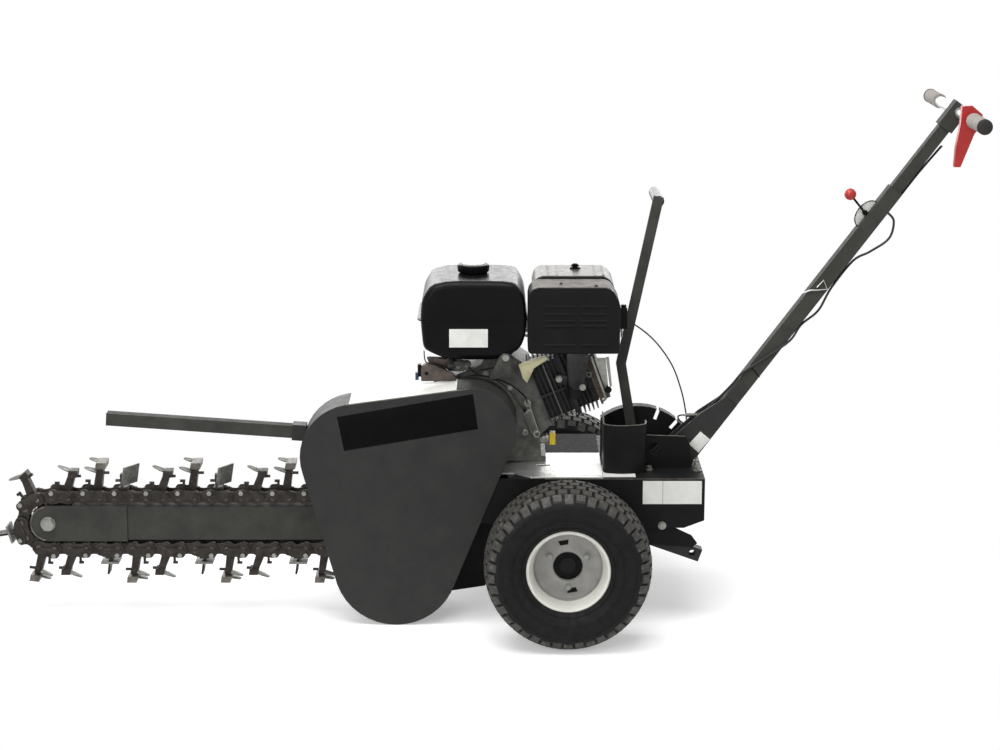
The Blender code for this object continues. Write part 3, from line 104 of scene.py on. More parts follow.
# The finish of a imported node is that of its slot, unless it is listed here.
FINISH_OF_SLOT = {"casting": "cast_aluminium", "black_casting": "fin_metal", "tyre": "tyre_rubber"}
FINISH_OF_NODE = {
    # These bars and plates take the lighter charcoal paint, which is painted light.
    "deflector_bar": "charcoal_paint_painted_light",
    "boom_bar": "charcoal_paint_painted_light",
    "nose_plate_near": "charcoal_paint_painted_light",
    "nose_plate_far": "charcoal_paint_painted_light",
    "lever_bar": "charcoal_paint_painted_light",
    "mast_tube": "charcoal_paint_painted_light",
    "handle_tube": "charcoal_paint_painted_light",
    # The axle is dark like the tyre, which paints the shade inside the hub hole.
    "axle": "tyre_rubber",
}
NODE_EDGE = 0.7
EDGE_OF_NODE = {"clutch_lever": 4}
WELD_DISTANCE = 0.02
FLAT_ANGLE = 0.6


def srgb(colour):
    """The linear colour of an sRGB one, which is written as a hexadecimal number."""
    linear = []
    for shift in (16, 8, 0):
        share = (colour >> shift & 255) / 255
        linear.append(share / 12.92 if share <= 0.04045 else ((share + 0.055) / 1.055) ** 2.4)
    return (*linear, 1)


class Nodes:
    """A node tree, with short ways to add and join nodes."""

    def __init__(self, tree):
        self.tree = tree

    def add(self, kind, **inputs):
        node = self.tree.nodes.new(kind)
        for key, value in inputs.items():
            node.inputs[key.replace("_", " ")].default_value = value
        return node

    def join(self, sources, targets):
        """Links each source to its target, or writes it there if it is a plain value."""
        for source, target in zip(sources, targets):
            if isinstance(source, bpy.types.NodeSocket):
                self.tree.links.new(source, target)
            else:
                target.default_value = source

    def noise(self, scale, detail, rough=0.55):
        node = self.add("ShaderNodeTexNoise", Scale=scale, Detail=detail, Roughness=rough)
        self.join([self.add("ShaderNodeTexCoord").outputs["Object"]], [node.inputs["Vector"]])
        return node.outputs["Fac"]

    def ramp(self, source, low, high):
        node = self.add("ShaderNodeValToRGB")
        node.color_ramp.elements[0].position = low
        node.color_ramp.elements[1].position = high
        self.join([source], [node.inputs["Fac"]])
        return node.outputs["Color"]

    def mix(self, factor, a, b):
        node = self.add("ShaderNodeMix")
        node.data_type = "RGBA"
        self.join([factor, a, b], [node.inputs[key] for key in (0, 6, 7)])
        return node.outputs[2]

    def between(self, source, low, high):
        """The middle of a noise, spread from low to high."""
        node = self.add("ShaderNodeMapRange", From_Min=0.3, From_Max=0.7, To_Min=low, To_Max=high)
        self.join([source], [node.inputs["Value"]])
        return node.outputs["Result"]

    def maths(self, operation, a, b):
        node = self.add("ShaderNodeMath")
        node.operation = operation
        self.join([a, b], node.inputs)
        return node.outputs[0]

    def blend(self, factor, a, b):
        """A mix of two shaders."""
        node = self.add("ShaderNodeMixShader")
        self.join([factor, a, b], node.inputs)
        return node.outputs[0]


def surface(name, colour, shade, wear, rough, wear_at, metal, gloss, patches, grain, depth):
    """A worn finish: two close colours in large patches, fine wear marks, and a fine grain in the bump."""
    material = bpy.data.materials.new(name)
    material.use_nodes = True
    nodes = Nodes(material.node_tree)
    shader = material.node_tree.nodes["Principled BSDF"].inputs
    base = nodes.mix(nodes.ramp(nodes.noise(patches, 5, 0.6), *PATCH_EDGES), srgb(colour), srgb(shade))
    base = nodes.mix(nodes.ramp(nodes.noise(WEAR_SCALE, 6, 0.7), *wear_at), base, srgb(wear))
    roughness = nodes.between(nodes.noise(patches * 3, 4), *rough)
    bump = nodes.add("ShaderNodeBump", Strength=GRAIN_STRENGTH, Distance=depth * MM / 100)
    nodes.join([nodes.noise(grain, 3, 0.5)], [bump.inputs["Height"]])
    targets = [shader[key] for key in ("Base Color", "Roughness", "Normal", "Metallic", "Specular IOR Level")]
    nodes.join([base, roughness, bump.outputs["Normal"], metal, gloss], targets)
    return material


def dust_and_painted_light(name, like, dust_and_light):
    """A copy of a finish that is paler on whatever faces up: pale dust, and painted light from above."""
    material = like.copy()
    material.name = name
    nodes = Nodes(material.node_tree)
    base = material.node_tree.nodes["Principled BSDF"].inputs["Base Color"]
    split = nodes.add("ShaderNodeSeparateXYZ")
    nodes.join([nodes.add("ShaderNodeNewGeometry").outputs["Normal"]], split.inputs)
    # Upward faces take the pale colour, which stands for dust and for painted top light.
    facing_up = nodes.ramp(split.outputs["Z"], *DUST_AND_LIGHT_SLOPES)
    nodes.join([nodes.mix(facing_up, base.links[0].from_socket, srgb(dust_and_light))], [base])
    return material


FINISH = {row[0]: surface(*row) for row in FINISHES}
for dust_and_light_name, (clean, dust_and_light_colour) in DUST_AND_PAINTED_LIGHT.items():
    FINISH[dust_and_light_name] = dust_and_painted_light(dust_and_light_name, FINISH[clean], dust_and_light_colour)


def dress_cad_nodes():
    """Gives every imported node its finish, and softens its edges."""
    for name, node in NODES.items():
        slot = node.data.materials[0].name.split(".")[0]
        finish = FINISH_OF_NODE.get(name) or FINISH_OF_SLOT.get(slot, slot)
        node.data.materials.clear()
        node.data.materials.append(FINISH[finish])
        normals = node.data.attributes.get("custom_normal")
        if normals is not None:
            node.data.attributes.remove(normals)
        node.data.shade_smooth()
        welded = node.modifiers.new("weld", "WELD")
        welded.merge_threshold = WELD_DISTANCE * MM
        flat = node.modifiers.new("flatten", "DECIMATE")
        flat.decimate_type = "DISSOLVE"
        flat.angle_limit = math.radians(FLAT_ANGLE)
        soften(node, EDGE_OF_NODE.get(name, NODE_EDGE))


def soften(obj, width, segments=2, angle=33):
    """A small rounded edge wherever two faces meet at more than that angle."""
    bevel = obj.modifiers.new("edges", "BEVEL")
    bevel.width = width * MM
    bevel.segments = segments
    bevel.limit_method = "ANGLE"
    bevel.angle_limit = math.radians(angle)
    bevel.harden_normals = True


# ---------------------------------------------------------------- stage, in metres

CAMERA_PLACE = (0.061, -5.30, 1.768)
CAMERA_DOWN = 12.93
CAMERA_LENS = 82.8
WORLD_LIGHT = 0.42
FLOOR_SIZE = 9
FLOOR_DROP = 0.0005
FLOOR_COLOUR = (0.86, 0.86, 0.86, 1)
FLOOR_GLOW = 0.34
FLOOR_SQUEEZE = (0.55, 1, 1)
FLOOR_FADE = (0.35, 0.85)
# Name, place, target, size and power of each lamp.
LAMPS = (
    ("top_lamp", (-0.4, -1.0, 3.6), (0, 0, 0.3), (3.2, 2.4), 120),
    ("front_lamp", (-1.8, -4.0, 2.2), (0, 0, 0.4), (1.6, 1.6), 45),
    ("back_lamp", (0.2, 4.2, 1.75), (0, 0, 0.6), (6.0, 2.2), 100),
)


def into_scene(name, data):
    obj = bpy.data.objects.new(name, data)
    bpy.context.scene.collection.objects.link(obj)
    return obj


def see_white(nodes):
    """One for the rays that the camera, reflections and clear things send, and zero for the rest."""
    paths = nodes.add("ShaderNodeLightPath").outputs
    seen = nodes.maths("MAXIMUM", paths["Is Camera Ray"], paths["Is Glossy Ray"])
    return nodes.maths("MAXIMUM", seen, paths["Is Transmission Ray"])


def build_world():
    world = bpy.data.worlds.new("studio")
    world.use_nodes = True
    world.node_tree.nodes.clear()
    nodes = Nodes(world.node_tree)
    white = (1, 1, 1, 1)
    light = nodes.add("ShaderNodeBackground", Color=white, Strength=WORLD_LIGHT).outputs[0]
    backdrop = nodes.add("ShaderNodeBackground", Color=white, Strength=1).outputs[0]
    out = nodes.add("ShaderNodeOutputWorld")
    nodes.join([nodes.blend(see_white(nodes), light, backdrop)], [out.inputs["Surface"]])
    bpy.context.scene.world = world


def far_from_object(nodes):
    """Zero on the floor round the object and one further out, with a soft change between."""
    squeeze = nodes.add("ShaderNodeVectorMath")
    squeeze.operation = "MULTIPLY"
    reach = nodes.add("ShaderNodeVectorMath")
    reach.operation = "LENGTH"
    fade = nodes.add("ShaderNodeMapRange", From_Min=FLOOR_FADE[0], From_Max=FLOOR_FADE[1])
    fade.interpolation_type = "SMOOTHSTEP"
    nodes.join([nodes.add("ShaderNodeTexCoord").outputs["Object"], FLOOR_SQUEEZE], squeeze.inputs)
    nodes.join([squeeze.outputs[0]], reach.inputs)
    nodes.join([reach.outputs["Value"]], [fade.inputs["Value"]])
    return fade.outputs["Result"]


def floor_material():
    """A matt pale floor with a faint glow, which goes over into plain white away from the object."""
    material = bpy.data.materials.new("pale_floor")
    material.use_nodes = True
    material.node_tree.nodes.clear()
    nodes = Nodes(material.node_tree)
    dark, glow, white = [
        nodes.add("ShaderNodeEmission", Strength=strength).outputs[0] for strength in (0, FLOOR_GLOW, 1)
    ]
    seen = see_white(nodes)
    matt = nodes.add("ShaderNodeBsdfDiffuse", Color=FLOOR_COLOUR).outputs[0]
    near = nodes.add("ShaderNodeAddShader")
    nodes.join([matt, nodes.blend(seen, dark, glow)], near.inputs)
    share = nodes.maths("MULTIPLY", far_from_object(nodes), seen)
    out = nodes.add("ShaderNodeOutputMaterial")
    nodes.join([nodes.blend(share, near.outputs[0], white)], [out.inputs["Surface"]])
    return material


def build_floor():
    shape = bmesh.new()
    bmesh.ops.create_grid(shape, x_segments=8, y_segments=8, size=FLOOR_SIZE)
    mesh = bpy.data.meshes.new("floor")
    shape.to_mesh(mesh)
    mesh.materials.append(floor_material())
    floor = into_scene("floor", mesh)
    floor.location = (0, 0, -FLOOR_DROP)


def build_lamp(name, place, target, size, power):
    data = bpy.data.lights.new(name, "AREA")
    data.shape = "RECTANGLE"
    data.size, data.size_y = size
    data.energy = power
    lamp = into_scene(name, data)
    lamp.location = place
    lamp.visible_camera = False
    lamp.rotation_euler = (Vector(target) - Vector(place)).to_track_quat("-Z", "Y").to_euler()


def build_camera():
    data = bpy.data.cameras.new("camera")
    data.lens = CAMERA_LENS
    data.clip_end = 60
    camera = into_scene("camera", data)
    camera.location = CAMERA_PLACE
    camera.rotation_euler = (math.radians(90 - CAMERA_DOWN), 0, 0)
    bpy.context.scene.camera = camera


def build_stage():
    build_camera()
    build_world()
    build_floor()
    for lamp in LAMPS:
        build_lamp(*lamp)
    bpy.context.scene.view_settings.view_transform = "Standard"


# ---------------------------------------------------------------- shaping, in millimetres

UP = (0, 0, 1)
FRONT = (0, -1, 0)
BACK = (0, 1, 0)
ON_AXIS = 0.0001
SHARP_EDGE = 0.5
BEVEL_STEPS = 2


class Sketch:
    """A mesh that grows shape by shape. finish is the index of the material that new faces take."""

    def __init__(self):
        self.bm = bmesh.new()
        self.finish = 0

    def close(self, verts, bevel):
        """Bevels the edges of a new closed shape, and gives its faces their finish."""
        faces = {face for vert in verts for face in vert.link_faces}
        if bevel:
            edges = list({edge for vert in verts for edge in vert.link_edges})
            sharp = [e for e in edges if len(e.link_faces) == 2 and e.calc_face_angle(0) > SHARP_EDGE]
            made = bmesh.ops.bevel(
                self.bm, geom=sharp, offset=bevel, offset_type="OFFSET", segments=BEVEL_STEPS,
                profile=0.5, affect="EDGES", clamp_overlap=True,
            )
            faces = {face for face in faces if face.is_valid} | set(made["faces"])
        for face in faces:
            face.material_index = self.finish

    def ring(self, centre, radius, across, up, sides):
        """Vertices round a circle."""
        turns = [2 * math.pi * k / sides for k in range(sides)]
        return [self.bm.verts.new(centre + radius * (math.cos(t) * across + math.sin(t) * up)) for t in turns]

    def skin(self, rings):
        """A closed shape through rings of vertices, all of one count."""
        faces = [self.bm.faces.new(rings[0][::-1]), self.bm.faces.new(rings[-1])]
        for low, high in zip(rings, rings[1:]):
            for k in range(len(low)):
                n = (k + 1) % len(low)
                faces.append(self.bm.faces.new([low[k], low[n], high[n], high[k]]))
        return faces

    def block(self, corners, bevel=0):
        """A box from its eight corners: four round the bottom, then the four above them."""
        verts = [self.bm.verts.new(corner) for corner in corners]
        for ring in ((3, 2, 1, 0), (4, 5, 6, 7), (0, 1, 5, 4), (1, 2, 6, 5), (2, 3, 7, 6), (3, 0, 4, 7)):
            self.bm.faces.new([verts[i] for i in ring])
        self.close(verts, bevel)

    def box(self, low, high, bevel=0):
        (x0, y0, z0), (x1, y1, z1) = low, high
        self.block([(x, y, z) for z in (z0, z1) for x, y in ((x0, y0), (x1, y0), (x1, y1), (x0, y1))], bevel)

    def prism(self, outline, low, high, bevel=0, place=None):
        """An outline swept from low to high. place turns (a, b, depth) into a point, by default (x, z, y)."""
        place = place or (lambda a, b, depth: (a, depth, b))
        area = sum(p[0] * q[1] - q[0] * p[1] for p, q in zip(outline, outline[1:] + outline[:1]))
        points = outline if area > 0 else outline[::-1]
        near = [self.bm.verts.new(place(a, b, low)) for a, b in points]
        far = [self.bm.verts.new(place(a, b, high)) for a, b in points]
        faces = [self.bm.faces.new(near), self.bm.faces.new(far[::-1])]
        for i in range(len(points)):
            j = (i + 1) % len(points)
            faces.append(self.bm.faces.new([near[j], near[i], far[i], far[j]]))
        bmesh.ops.recalc_face_normals(self.bm, faces=faces)
        self.close(near + far, bevel)

    def rod(self, start, end, radius, sides=20, bevel=0):
        start, end = Vector(start), Vector(end)
        across, up = sides_of(end - start)
        rings = [self.ring(centre, radius, across, up, sides) for centre in (start, end)]
        self.skin(rings)
        self.close(rings[0] + rings[1], bevel)

    def turned(self, profile, centre, axis=BACK, sides=32, closed=False):
        """A profile of (radius, run) turned about an axis.

        A closed profile makes a ring. An open one starts and ends on the axis.
        """
        centre, axis = Vector(centre), Vector(axis).normalized()
        across, up = sides_of(axis)
        rings = []
        for radius, run in profile:
            if radius < ON_AXIS:
                rings.append([self.bm.verts.new(centre + run * axis)])
            else:
                rings.append(self.ring(centre + run * axis, radius, across, up, sides))
        pairs = list(zip(rings, rings[1:] + rings[:1])) if closed else list(zip(rings, rings[1:]))
        faces = []
        for low, high in pairs:
            for k in range(sides):
                n = (k + 1) % sides
                corners = [low[k % len(low)], low[n % len(low)], high[n % len(high)], high[k % len(high)]]
                corners = list(dict.fromkeys(corners))
                if len(corners) > 2:
                    faces.append(self.bm.faces.new(corners))
        bmesh.ops.recalc_face_normals(self.bm, faces=faces)
        self.close([vert for ring in rings for vert in ring], 0)

    def hoop(self, outer, inner, low, high, centre, axis, sides):
        """A flat ring between two radii."""
        section = [(outer, low), (outer, high), (inner, high), (inner, low)]
        self.turned(section, centre, axis, sides, closed=True)

    def tube(self, points, radius, sides=10):
        """A round wire along points, with flat ends."""
        points = [Vector(p) for p in points]
        rings = []
        across = None
        for i, point in enumerate(points):
            ahead = points[min(i + 1, len(points) - 1)] - points[max(i - 1, 0)]
            if across is None:
                across, up = sides_of(ahead)
            else:
                across = (across - across.project(ahead)).normalized()
                up = ahead.normalized().cross(across)
            rings.append(self.ring(point, radius, across, up, sides))
        self.skin(rings)
        self.close([vert for ring in rings for vert in ring], 0)

    def bolt(self, place, axis, across, height, washer=0):
        """A hexagon head with a domed end on a surface, with a washer under it if one is given."""
        place, axis = Vector(place), Vector(axis).normalized()
        if washer:
            self.rod(place, place + axis * height * 0.3, washer, 20, height * 0.08)
            place = place + axis * height * 0.3
        self.rod(place, place + axis * height, across / math.sqrt(3), 6, height * 0.12)
        self.rod(place + axis * height * 0.9, place + axis * height * 1.15, across * 0.26, 12, height * 0.1)


def sides_of(direction):
    """Two directions square to this one."""
    direction = Vector(direction).normalized()
    helper = Vector(UP) if abs(direction.z) < 0.9 else Vector((1, 0, 0))
    across = direction.cross(helper).normalized()
    return across, direction.cross(across)


def smooth_path(points, steps=6):
    """A smooth line through the points."""
    points = [Vector(p) for p in points]
    line = []
    for i in range(len(points) - 1):
        before, start = points[max(i - 1, 0)], points[i]
        end, after = points[i + 1], points[min(i + 2, len(points) - 1)]
        for step in range(steps):
            t = step / steps
            line.append(0.5 * (
                2 * start + (end - before) * t + (2 * before - 5 * start + 4 * end - after) * t * t
                + (3 * start - before - 3 * end + after) * t * t * t
            ))
    return line + [points[-1]]


def place_piece(obj, replaces, body):
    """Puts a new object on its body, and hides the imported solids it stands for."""
    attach(obj, body)
    if replaces:
        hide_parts(*replaces)


def piece(name, sketch, finishes, replaces=(), body="chassis", angle=32):
    """Turns a sketch into a piece of the model that rides on a body."""
    mesh = bpy.data.meshes.new(name)
    bmesh.ops.scale(sketch.bm, verts=sketch.bm.verts, vec=(MM, MM, MM))
    bmesh.ops.translate(sketch.bm, verts=sketch.bm.verts, vec=SHIFT)
    sketch.bm.to_mesh(mesh)
    sketch.bm.free()
    for finish in finishes:
        mesh.materials.append(FINISH[finish])
    mesh.shade_smooth()
    mesh.set_sharp_from_angle(angle=math.radians(angle))
    obj = into_scene(name, mesh)
    place_piece(obj, replaces, body)
    return obj


# ---------------------------------------------------------------- boom and digging chain

SHAFT_X = -377
SHAFT_Z = 222
BOOM_Y = -100
BOOM_LENGTH = 835
NOSE_X = SHAFT_X - BOOM_LENGTH
PITCH_RADIUS = 63
CHAIN_LOOP = 2 * (BOOM_LENGTH + math.pi * PITCH_RADIUS)
LINK_COUNT = 56
LINK = CHAIN_LOOP / LINK_COUNT
CUTTER_OFFSET = 30
PLATE_END_RADIUS = 16.5
PLATE_WAIST = 12.5
PLATE_THICK = 3.5
OUTER_PLATE_Y = 20.5
INNER_PLATE_Y = 16
PIN_BOLT_LEAN = 18.7
STEEP = math.radians(-80)
TOOTH_SIDES = 10


def along(origin, angle, run, rise=0):
    """A point of the plane, that far along a direction and to its left."""
    c, s = math.cos(angle), math.sin(angle)
    return origin[0] + c * run - s * rise, origin[1] + s * run + c * rise


def loop_place(distance):
    """The place and outward angle on the digging chain, measured from above the nose."""
    run, turn = BOOM_LENGTH, math.pi * PITCH_RADIUS
    distance %= 2 * (run + turn)
    if distance < run:
        return (NOSE_X + distance, SHAFT_Z + PITCH_RADIUS), math.pi / 2
    distance -= run
    if distance < turn:
        angle = math.pi / 2 - distance / PITCH_RADIUS
        return along((SHAFT_X, SHAFT_Z), angle, PITCH_RADIUS), angle
    distance -= turn
    if distance < run:
        return (SHAFT_X - distance, SHAFT_Z - PITCH_RADIUS), -math.pi / 2
    distance -= run
    angle = -math.pi / 2 - distance / PITCH_RADIUS
    return along((NOSE_X, SHAFT_Z), angle, PITCH_RADIUS), angle


def chain_frame(distance):
    """Turns (lean, y, height) at that distance along the chain into a point.

    Lean is to the left on the top run.
    """
    place, angle = loop_place(distance)

    def point(lean, y, height):
        x, z = along(place, angle, height, lean)
        return Vector((x, BOOM_Y + y, z))

    return point


def link_outline(start, end):
    """The figure-of-eight side of a link plate between two pins."""
    (x0, z0), (x1, z1) = start, end
    heading = math.atan2(z1 - z0, x1 - x0)
    points = []
    for centre, turn in ((start, math.pi), (end, 0)):
        for k in range(-4, 5):
            points.append(along(centre, heading + turn + k * math.radians(31), PLATE_END_RADIUS))
        middle = ((x0 + x1) / 2, (z0 + z1) / 2)
        points.append(along(middle, heading, 0, -PLATE_WAIST if turn else PLATE_WAIST))
    return points


def foot_plate(sketch, at, side):
    """The ear on a link's side that carries a cutter, and its bright bolt."""
    sketch.finish = 0
    outline = [
        (31, 2), (31, 13), (26, 19), (14, 20.5), (4, 17.5), (-14, 17.5), (-26, 12), (-30, 2), (-18, -4),
        (18, -4),
    ]
    low, high = sorted((side * 24.2, side * 27.7))
    sketch.prism(outline, low, high, 0.8, lambda a, b, depth: at(a, depth, b))
    sketch.finish = 1
    start = at(PIN_BOLT_LEAN, side * 27.7, 12.5)
    end = at(PIN_BOLT_LEAN, side * 33.5, 12.5)
    sketch.rod(start, end, 5.8, 6, 0.8)
    sketch.finish = 0


def slab(sketch, at, foot, head, half_y, mid_y=0, bevel=1.8):
    """A leaning bar from a foot to a head, each given as (lean low, lean high, height)."""
    corners = []
    for low, high, height in (foot, head):
        for lean, y in ((low, -half_y), (high, -half_y), (high, half_y), (low, half_y)):
            corners.append(at(lean, mid_y + y, height))
    sketch.block(corners, bevel)


def tooth(sketch, at, root, tip, mid_y, wide=10.5):
    """A cupped pick: a flat tapered blade that hollows towards its point."""
    (l0, h0), (l1, h1) = root, tip
    run = Vector((l1 - l0, h1 - h0))
    across = Vector((-run.y, run.x)).normalized()
    stations = ((0, 1, 5), (0.45, 0.95, 4.4), (0.85, 0.66, 2.8), (1, 0.34, 1.2))
    rings = []
    for share, width, thick in stations:
        lean, height = l0 + run.x * share, h0 + run.y * share
        ring = []
        for k in range(TOOTH_SIDES):
            turn = 2 * math.pi * k / TOOTH_SIDES
            y = mid_y + wide * width * math.cos(turn)
            off = thick * math.sin(turn) - 2.2 * math.cos(turn) ** 2 * share
            ring.append(sketch.bm.verts.new(at(lean + across.x * off, y, height + across.y * off)))
        rings.append(ring)
    bmesh.ops.recalc_face_normals(sketch.bm, faces=sketch.skin(rings))
    sketch.close([vert for ring in rings for vert in ring], 0)


def stud(sketch, at, lean, y, height, length, radius=3.5):
    """A small bolt through a cutter, lengthwise to the chain."""
    sketch.rod(at(lean - length / 2, y, height), at(lean + length / 2, y, height), radius, 8, 0.6)


def bent_cutter(sketch, at):
    """A bent arm with one cupped pick."""
    y = -6
    sketch.finish = 0
    slab(sketch, at, (-24, -2, 10), (-36, -19, 50), 12.5, y)
    slab(sketch, at, (-41, -19, 48), (-43, -22, 64), 15, y)
    stud(sketch, at, -43, y - 4, 49, 12)
    stud(sketch, at, 6, y - 10, 34, 11)
    slab(sketch, at, (1, 6, 12), (2, 7, 36), 4, y - 10, 1)
    sketch.finish = 2
    tooth(sketch, at, (-26, 60), (4, 73.5), y)


def tall_cutter(sketch, at):
    """An upright arm with a worn head and two picks."""
    y = 4
    sketch.finish = 0
    slab(sketch, at, (-21, -1, 10), (-28, -12, 66), 13, y)
    stud(sketch, at, -34, y - 6, 55, 13)
    stud(sketch, at, 9, y - 12, 37, 12)
    slab(sketch, at, (3, 8, 12), (4, 9, 38), 4, y - 12, 1)
    sketch.finish = 3
    slab(sketch, at, (-34, -10, 68), (-36, -13, 83), 25, y)
    sketch.finish = 2
    tooth(sketch, at, (-18, 78), (8, 85.5), y + 14)
    tooth(sketch, at, (-12, 60), (16, 70), y - 10)


def plate_cutter(sketch, at, hanging):
    """A skewed flat blade, or on the lower run a flat plate across the chain."""
    sketch.finish = 0
    slab(sketch, at, (-12, 12, 8), (-10, 10, 24), 19, 0, 2)
    if hanging:
        sketch.finish = 2
        slab(sketch, at, (-21, 21, 31), (-21, 21, 36), 24, 0, 1)
        sketch.finish = 0
        slab(sketch, at, (-2, 3, 20), (-8, -3, 63), 18, 0, 1)
        return
    slab(sketch, at, (0, 5, 18), (1, 6, 56), 8, -14, 1)
    stud(sketch, at, 10, -16, 40, 14)
    sketch.finish = 2
    corners = []
    for height, skew in ((27, 0), (72, -7)):
        for lean, y in ((0, -20), (4.5, -22.5), (-23.5, 22.5), (-28, 20)):
            corners.append(at(lean + skew, y, height))
    sketch.block(corners, 1)


def build_digging_chain():
    """Roller chain with bolted-on cutters: bent single picks, tall double picks and flat plates in turn."""
    sketch = Sketch()
    pins = [loop_place(CUTTER_OFFSET + (k - 0.5) * LINK)[0] for k in range(LINK_COUNT)]
    for k, start in enumerate(pins):
        end = pins[(k + 1) % LINK_COUNT]
        low = OUTER_PLATE_Y if k % 2 == 0 else INNER_PLATE_Y
        for side in (-1, 1):
            near, far = sorted((BOOM_Y + side * low, BOOM_Y + side * (low + PLATE_THICK)))
            sketch.finish = 0
            sketch.prism(link_outline(start, end), near, far, 0.6)
        x, z = start
        sketch.rod((x, BOOM_Y - INNER_PLATE_Y, z), (x, BOOM_Y + INNER_PLATE_Y, z), 9.5, 16)
        sketch.rod((x, BOOM_Y - 25, z), (x, BOOM_Y + 25, z), 10.5, 16, 0.8)
        sketch.finish = 3
        sketch.rod((x, BOOM_Y - 26.4, z), (x, BOOM_Y + 26.4, z), 5.8, 12, 0.8)
    for i in range(LINK_COUNT // 2):
        distance = CUTTER_OFFSET + 2 * i * LINK
        at = chain_frame(distance)
        for side in (-1, 1):
            foot_plate(sketch, at, side)
        if i % 3 == 0:
            bent_cutter(sketch, at)
        elif i % 3 == 1:
            tall_cutter(sketch, at)
        else:
            plate_cutter(sketch, at, loop_place(distance)[1] < STEEP)
    finishes = ["chain_steel", "nut_steel", "tooth_steel", "worn_steel_and_painted_highlight"]
    piece("digging_chain_detail", sketch, finishes, ["digging_chain"], "boom")


def build_nose_trim():
    """The hexagon nut and washer on the nose bolt's ends, and the pale rim of the round nose plates: wear and a
    painted highlight.
    """
    sketch = Sketch()
    y_face = 24.3
    for side in (-1, 1):
        y = BOOM_Y + side * (y_face + 0.4)
        sketch.rod((NOSE_X, y, SHAFT_Z), (NOSE_X, y + side * 2.5, SHAFT_Z), 17.5, 24, 0.5)
        sketch.rod((NOSE_X, y + side * 2.5, SHAFT_Z), (NOSE_X, y + side * 11.8, SHAFT_Z), 15.8, 6, 1.4)
        sketch.rod((NOSE_X, y + side * 10, SHAFT_Z), (NOSE_X, y + side * 12.1, SHAFT_Z), 8, 16, 0.6)
    sketch.rod((NOSE_X, BOOM_Y - y_face, SHAFT_Z), (NOSE_X, BOOM_Y + y_face, SHAFT_Z), 10, 20)
    piece("nose_bolt_detail", sketch, ["nut_steel"], ["nose_bolt"], "boom")
    # A pale ring on each round nose plate: worn metal, and a painted highlight on its lit edge.
    rim = Sketch()
    for side in (-1, 1):
        ring = []
        for radius in (42.7, 38.5):
            turns = range(95, 266, 9) if radius > 40 else range(265, 94, -9)
            ring += [along((NOSE_X, SHAFT_Z), math.radians(turn), radius) for turn in turns]
        low, high = sorted((BOOM_Y + side * (y_face + 0.2), BOOM_Y + side * (y_face + 1.6)))
        rim.prism(ring, low, high, 0.4)
    piece("nose_plate_rim_highlights", rim, ["worn_steel_and_painted_highlight"], (), "boom")


# ---------------------------------------------------------------- wheels

WHEEL_RADIUS = 190
TRACK = 676
TREAD_ROWS = ((0, 0), (23.5, 0.5), (45.5, 0))
BLOCKS_ROUND = 42
BLOCK_STEP = 2 * math.pi / BLOCKS_ROUND
BLOCK_SHARE = 0.36
SHOULDER_SHARE = 0.37
BLOCK_FLARE = 1.12
BLOCK_HALF = 8.8
SHOULDER_START = 57.5
SHOULDER_ENDS = (73.5, 70)
TREAD_DEPTH = 6.5
SIDE_BEADS = ((105, 65.2), (123.5, 74.2), (129, 75.7), (153, 77))
BOLT_CIRCLE = 47.5
BOLT_TURNS = (150, 270, 390)
HAND_SLOT_TURNS = (100, 280)
TYRE_OUTSIDE = (
    (94.5, 55), (100, 61), (116, 71.5), (132, 76.5), (148, 77.5), (160, 75.5), (170, 71.5), (177, 65),
    (182.5, 57), (186.5, 45), (188.5, 32.5), (190, 16), (190, 0),
)


def crown_radius(half):
    """The tyre's outer radius at that distance from its middle."""
    outline = TYRE_OUTSIDE[4:]
    for (r0, h0), (r1, h1) in zip(outline, outline[1:]):
        if h1 <= half <= h0:
            return r0 + (r1 - r0) * (h0 - half) / max(h0 - h1, 1e-9)
    return WHEEL_RADIUS


def tread_block(sketch, centre, turn, share, y0, y1):
    """One rubber block of the tread, between two distances from the tyre's middle, with a wider foot."""
    corners = []
    for sunk, spread in ((TREAD_DEPTH + 2, BLOCK_FLARE), (0, 1)):
        for side, y in ((-1, y0), (1, y0), (1, y1), (-1, y1)):
            size = crown_radius(abs(y)) - 0.3 - sunk
            angle = turn + side * BLOCK_STEP * share * spread
            corners.append(centre + Vector((size * math.cos(angle), y, size * math.sin(angle))))
    sketch.block(corners, 1.4)


def build_tyre(side, sign):
    """A turf tyre: a round casing, and staggered blocks that run on to its shoulders."""
    sketch = Sketch()
    centre = Vector((0, sign * TRACK / 2, WHEEL_RADIUS))
    casing = []
    for radius, half in TYRE_OUTSIDE:
        drop = TREAD_DEPTH if radius > 176 else TREAD_DEPTH * max(0, (radius - 160) / 16)
        casing.append((radius - drop, half - (1.2 if radius > 160 else 0)))
    mirrored = [(radius, -half) for radius, half in reversed(casing[:-1])]
    sketch.turned(casing + mirrored, centre, BACK, 72, closed=True)
    for bead, half in SIDE_BEADS:
        for face in (-1, 1):
            low, high = face * (half - 2), face * (half + 0.4)
            ring = [(bead - 1.2, low), (bead, high), (bead + 1.2, low)]
            sketch.turned(ring, centre, BACK, 72, closed=True)
    # The tread blocks are paler: worn rubber, and painted light on their tops.
    sketch.finish = 1
    for k in range(BLOCKS_ROUND):
        for middle, stagger in TREAD_ROWS:
            for face in ((-1, 1) if middle else (1,)):
                y = face * middle
                turn = (k + stagger) * BLOCK_STEP
                tread_block(sketch, centre, turn, BLOCK_SHARE, y - BLOCK_HALF, y + BLOCK_HALF)
        for face in (-1, 1):
            y0, y1 = sorted((face * SHOULDER_START, face * SHOULDER_ENDS[k % 2]))
            tread_block(sketch, centre, (k + 0.5) * BLOCK_STEP, SHOULDER_SHARE, y0, y1)
    name, body = side + "_tyre", side + "_wheel"
    piece(name + "_detail", sketch, ["tyre_rubber", "tread_rubber_wear_and_painted_light"], [name], body, 40)


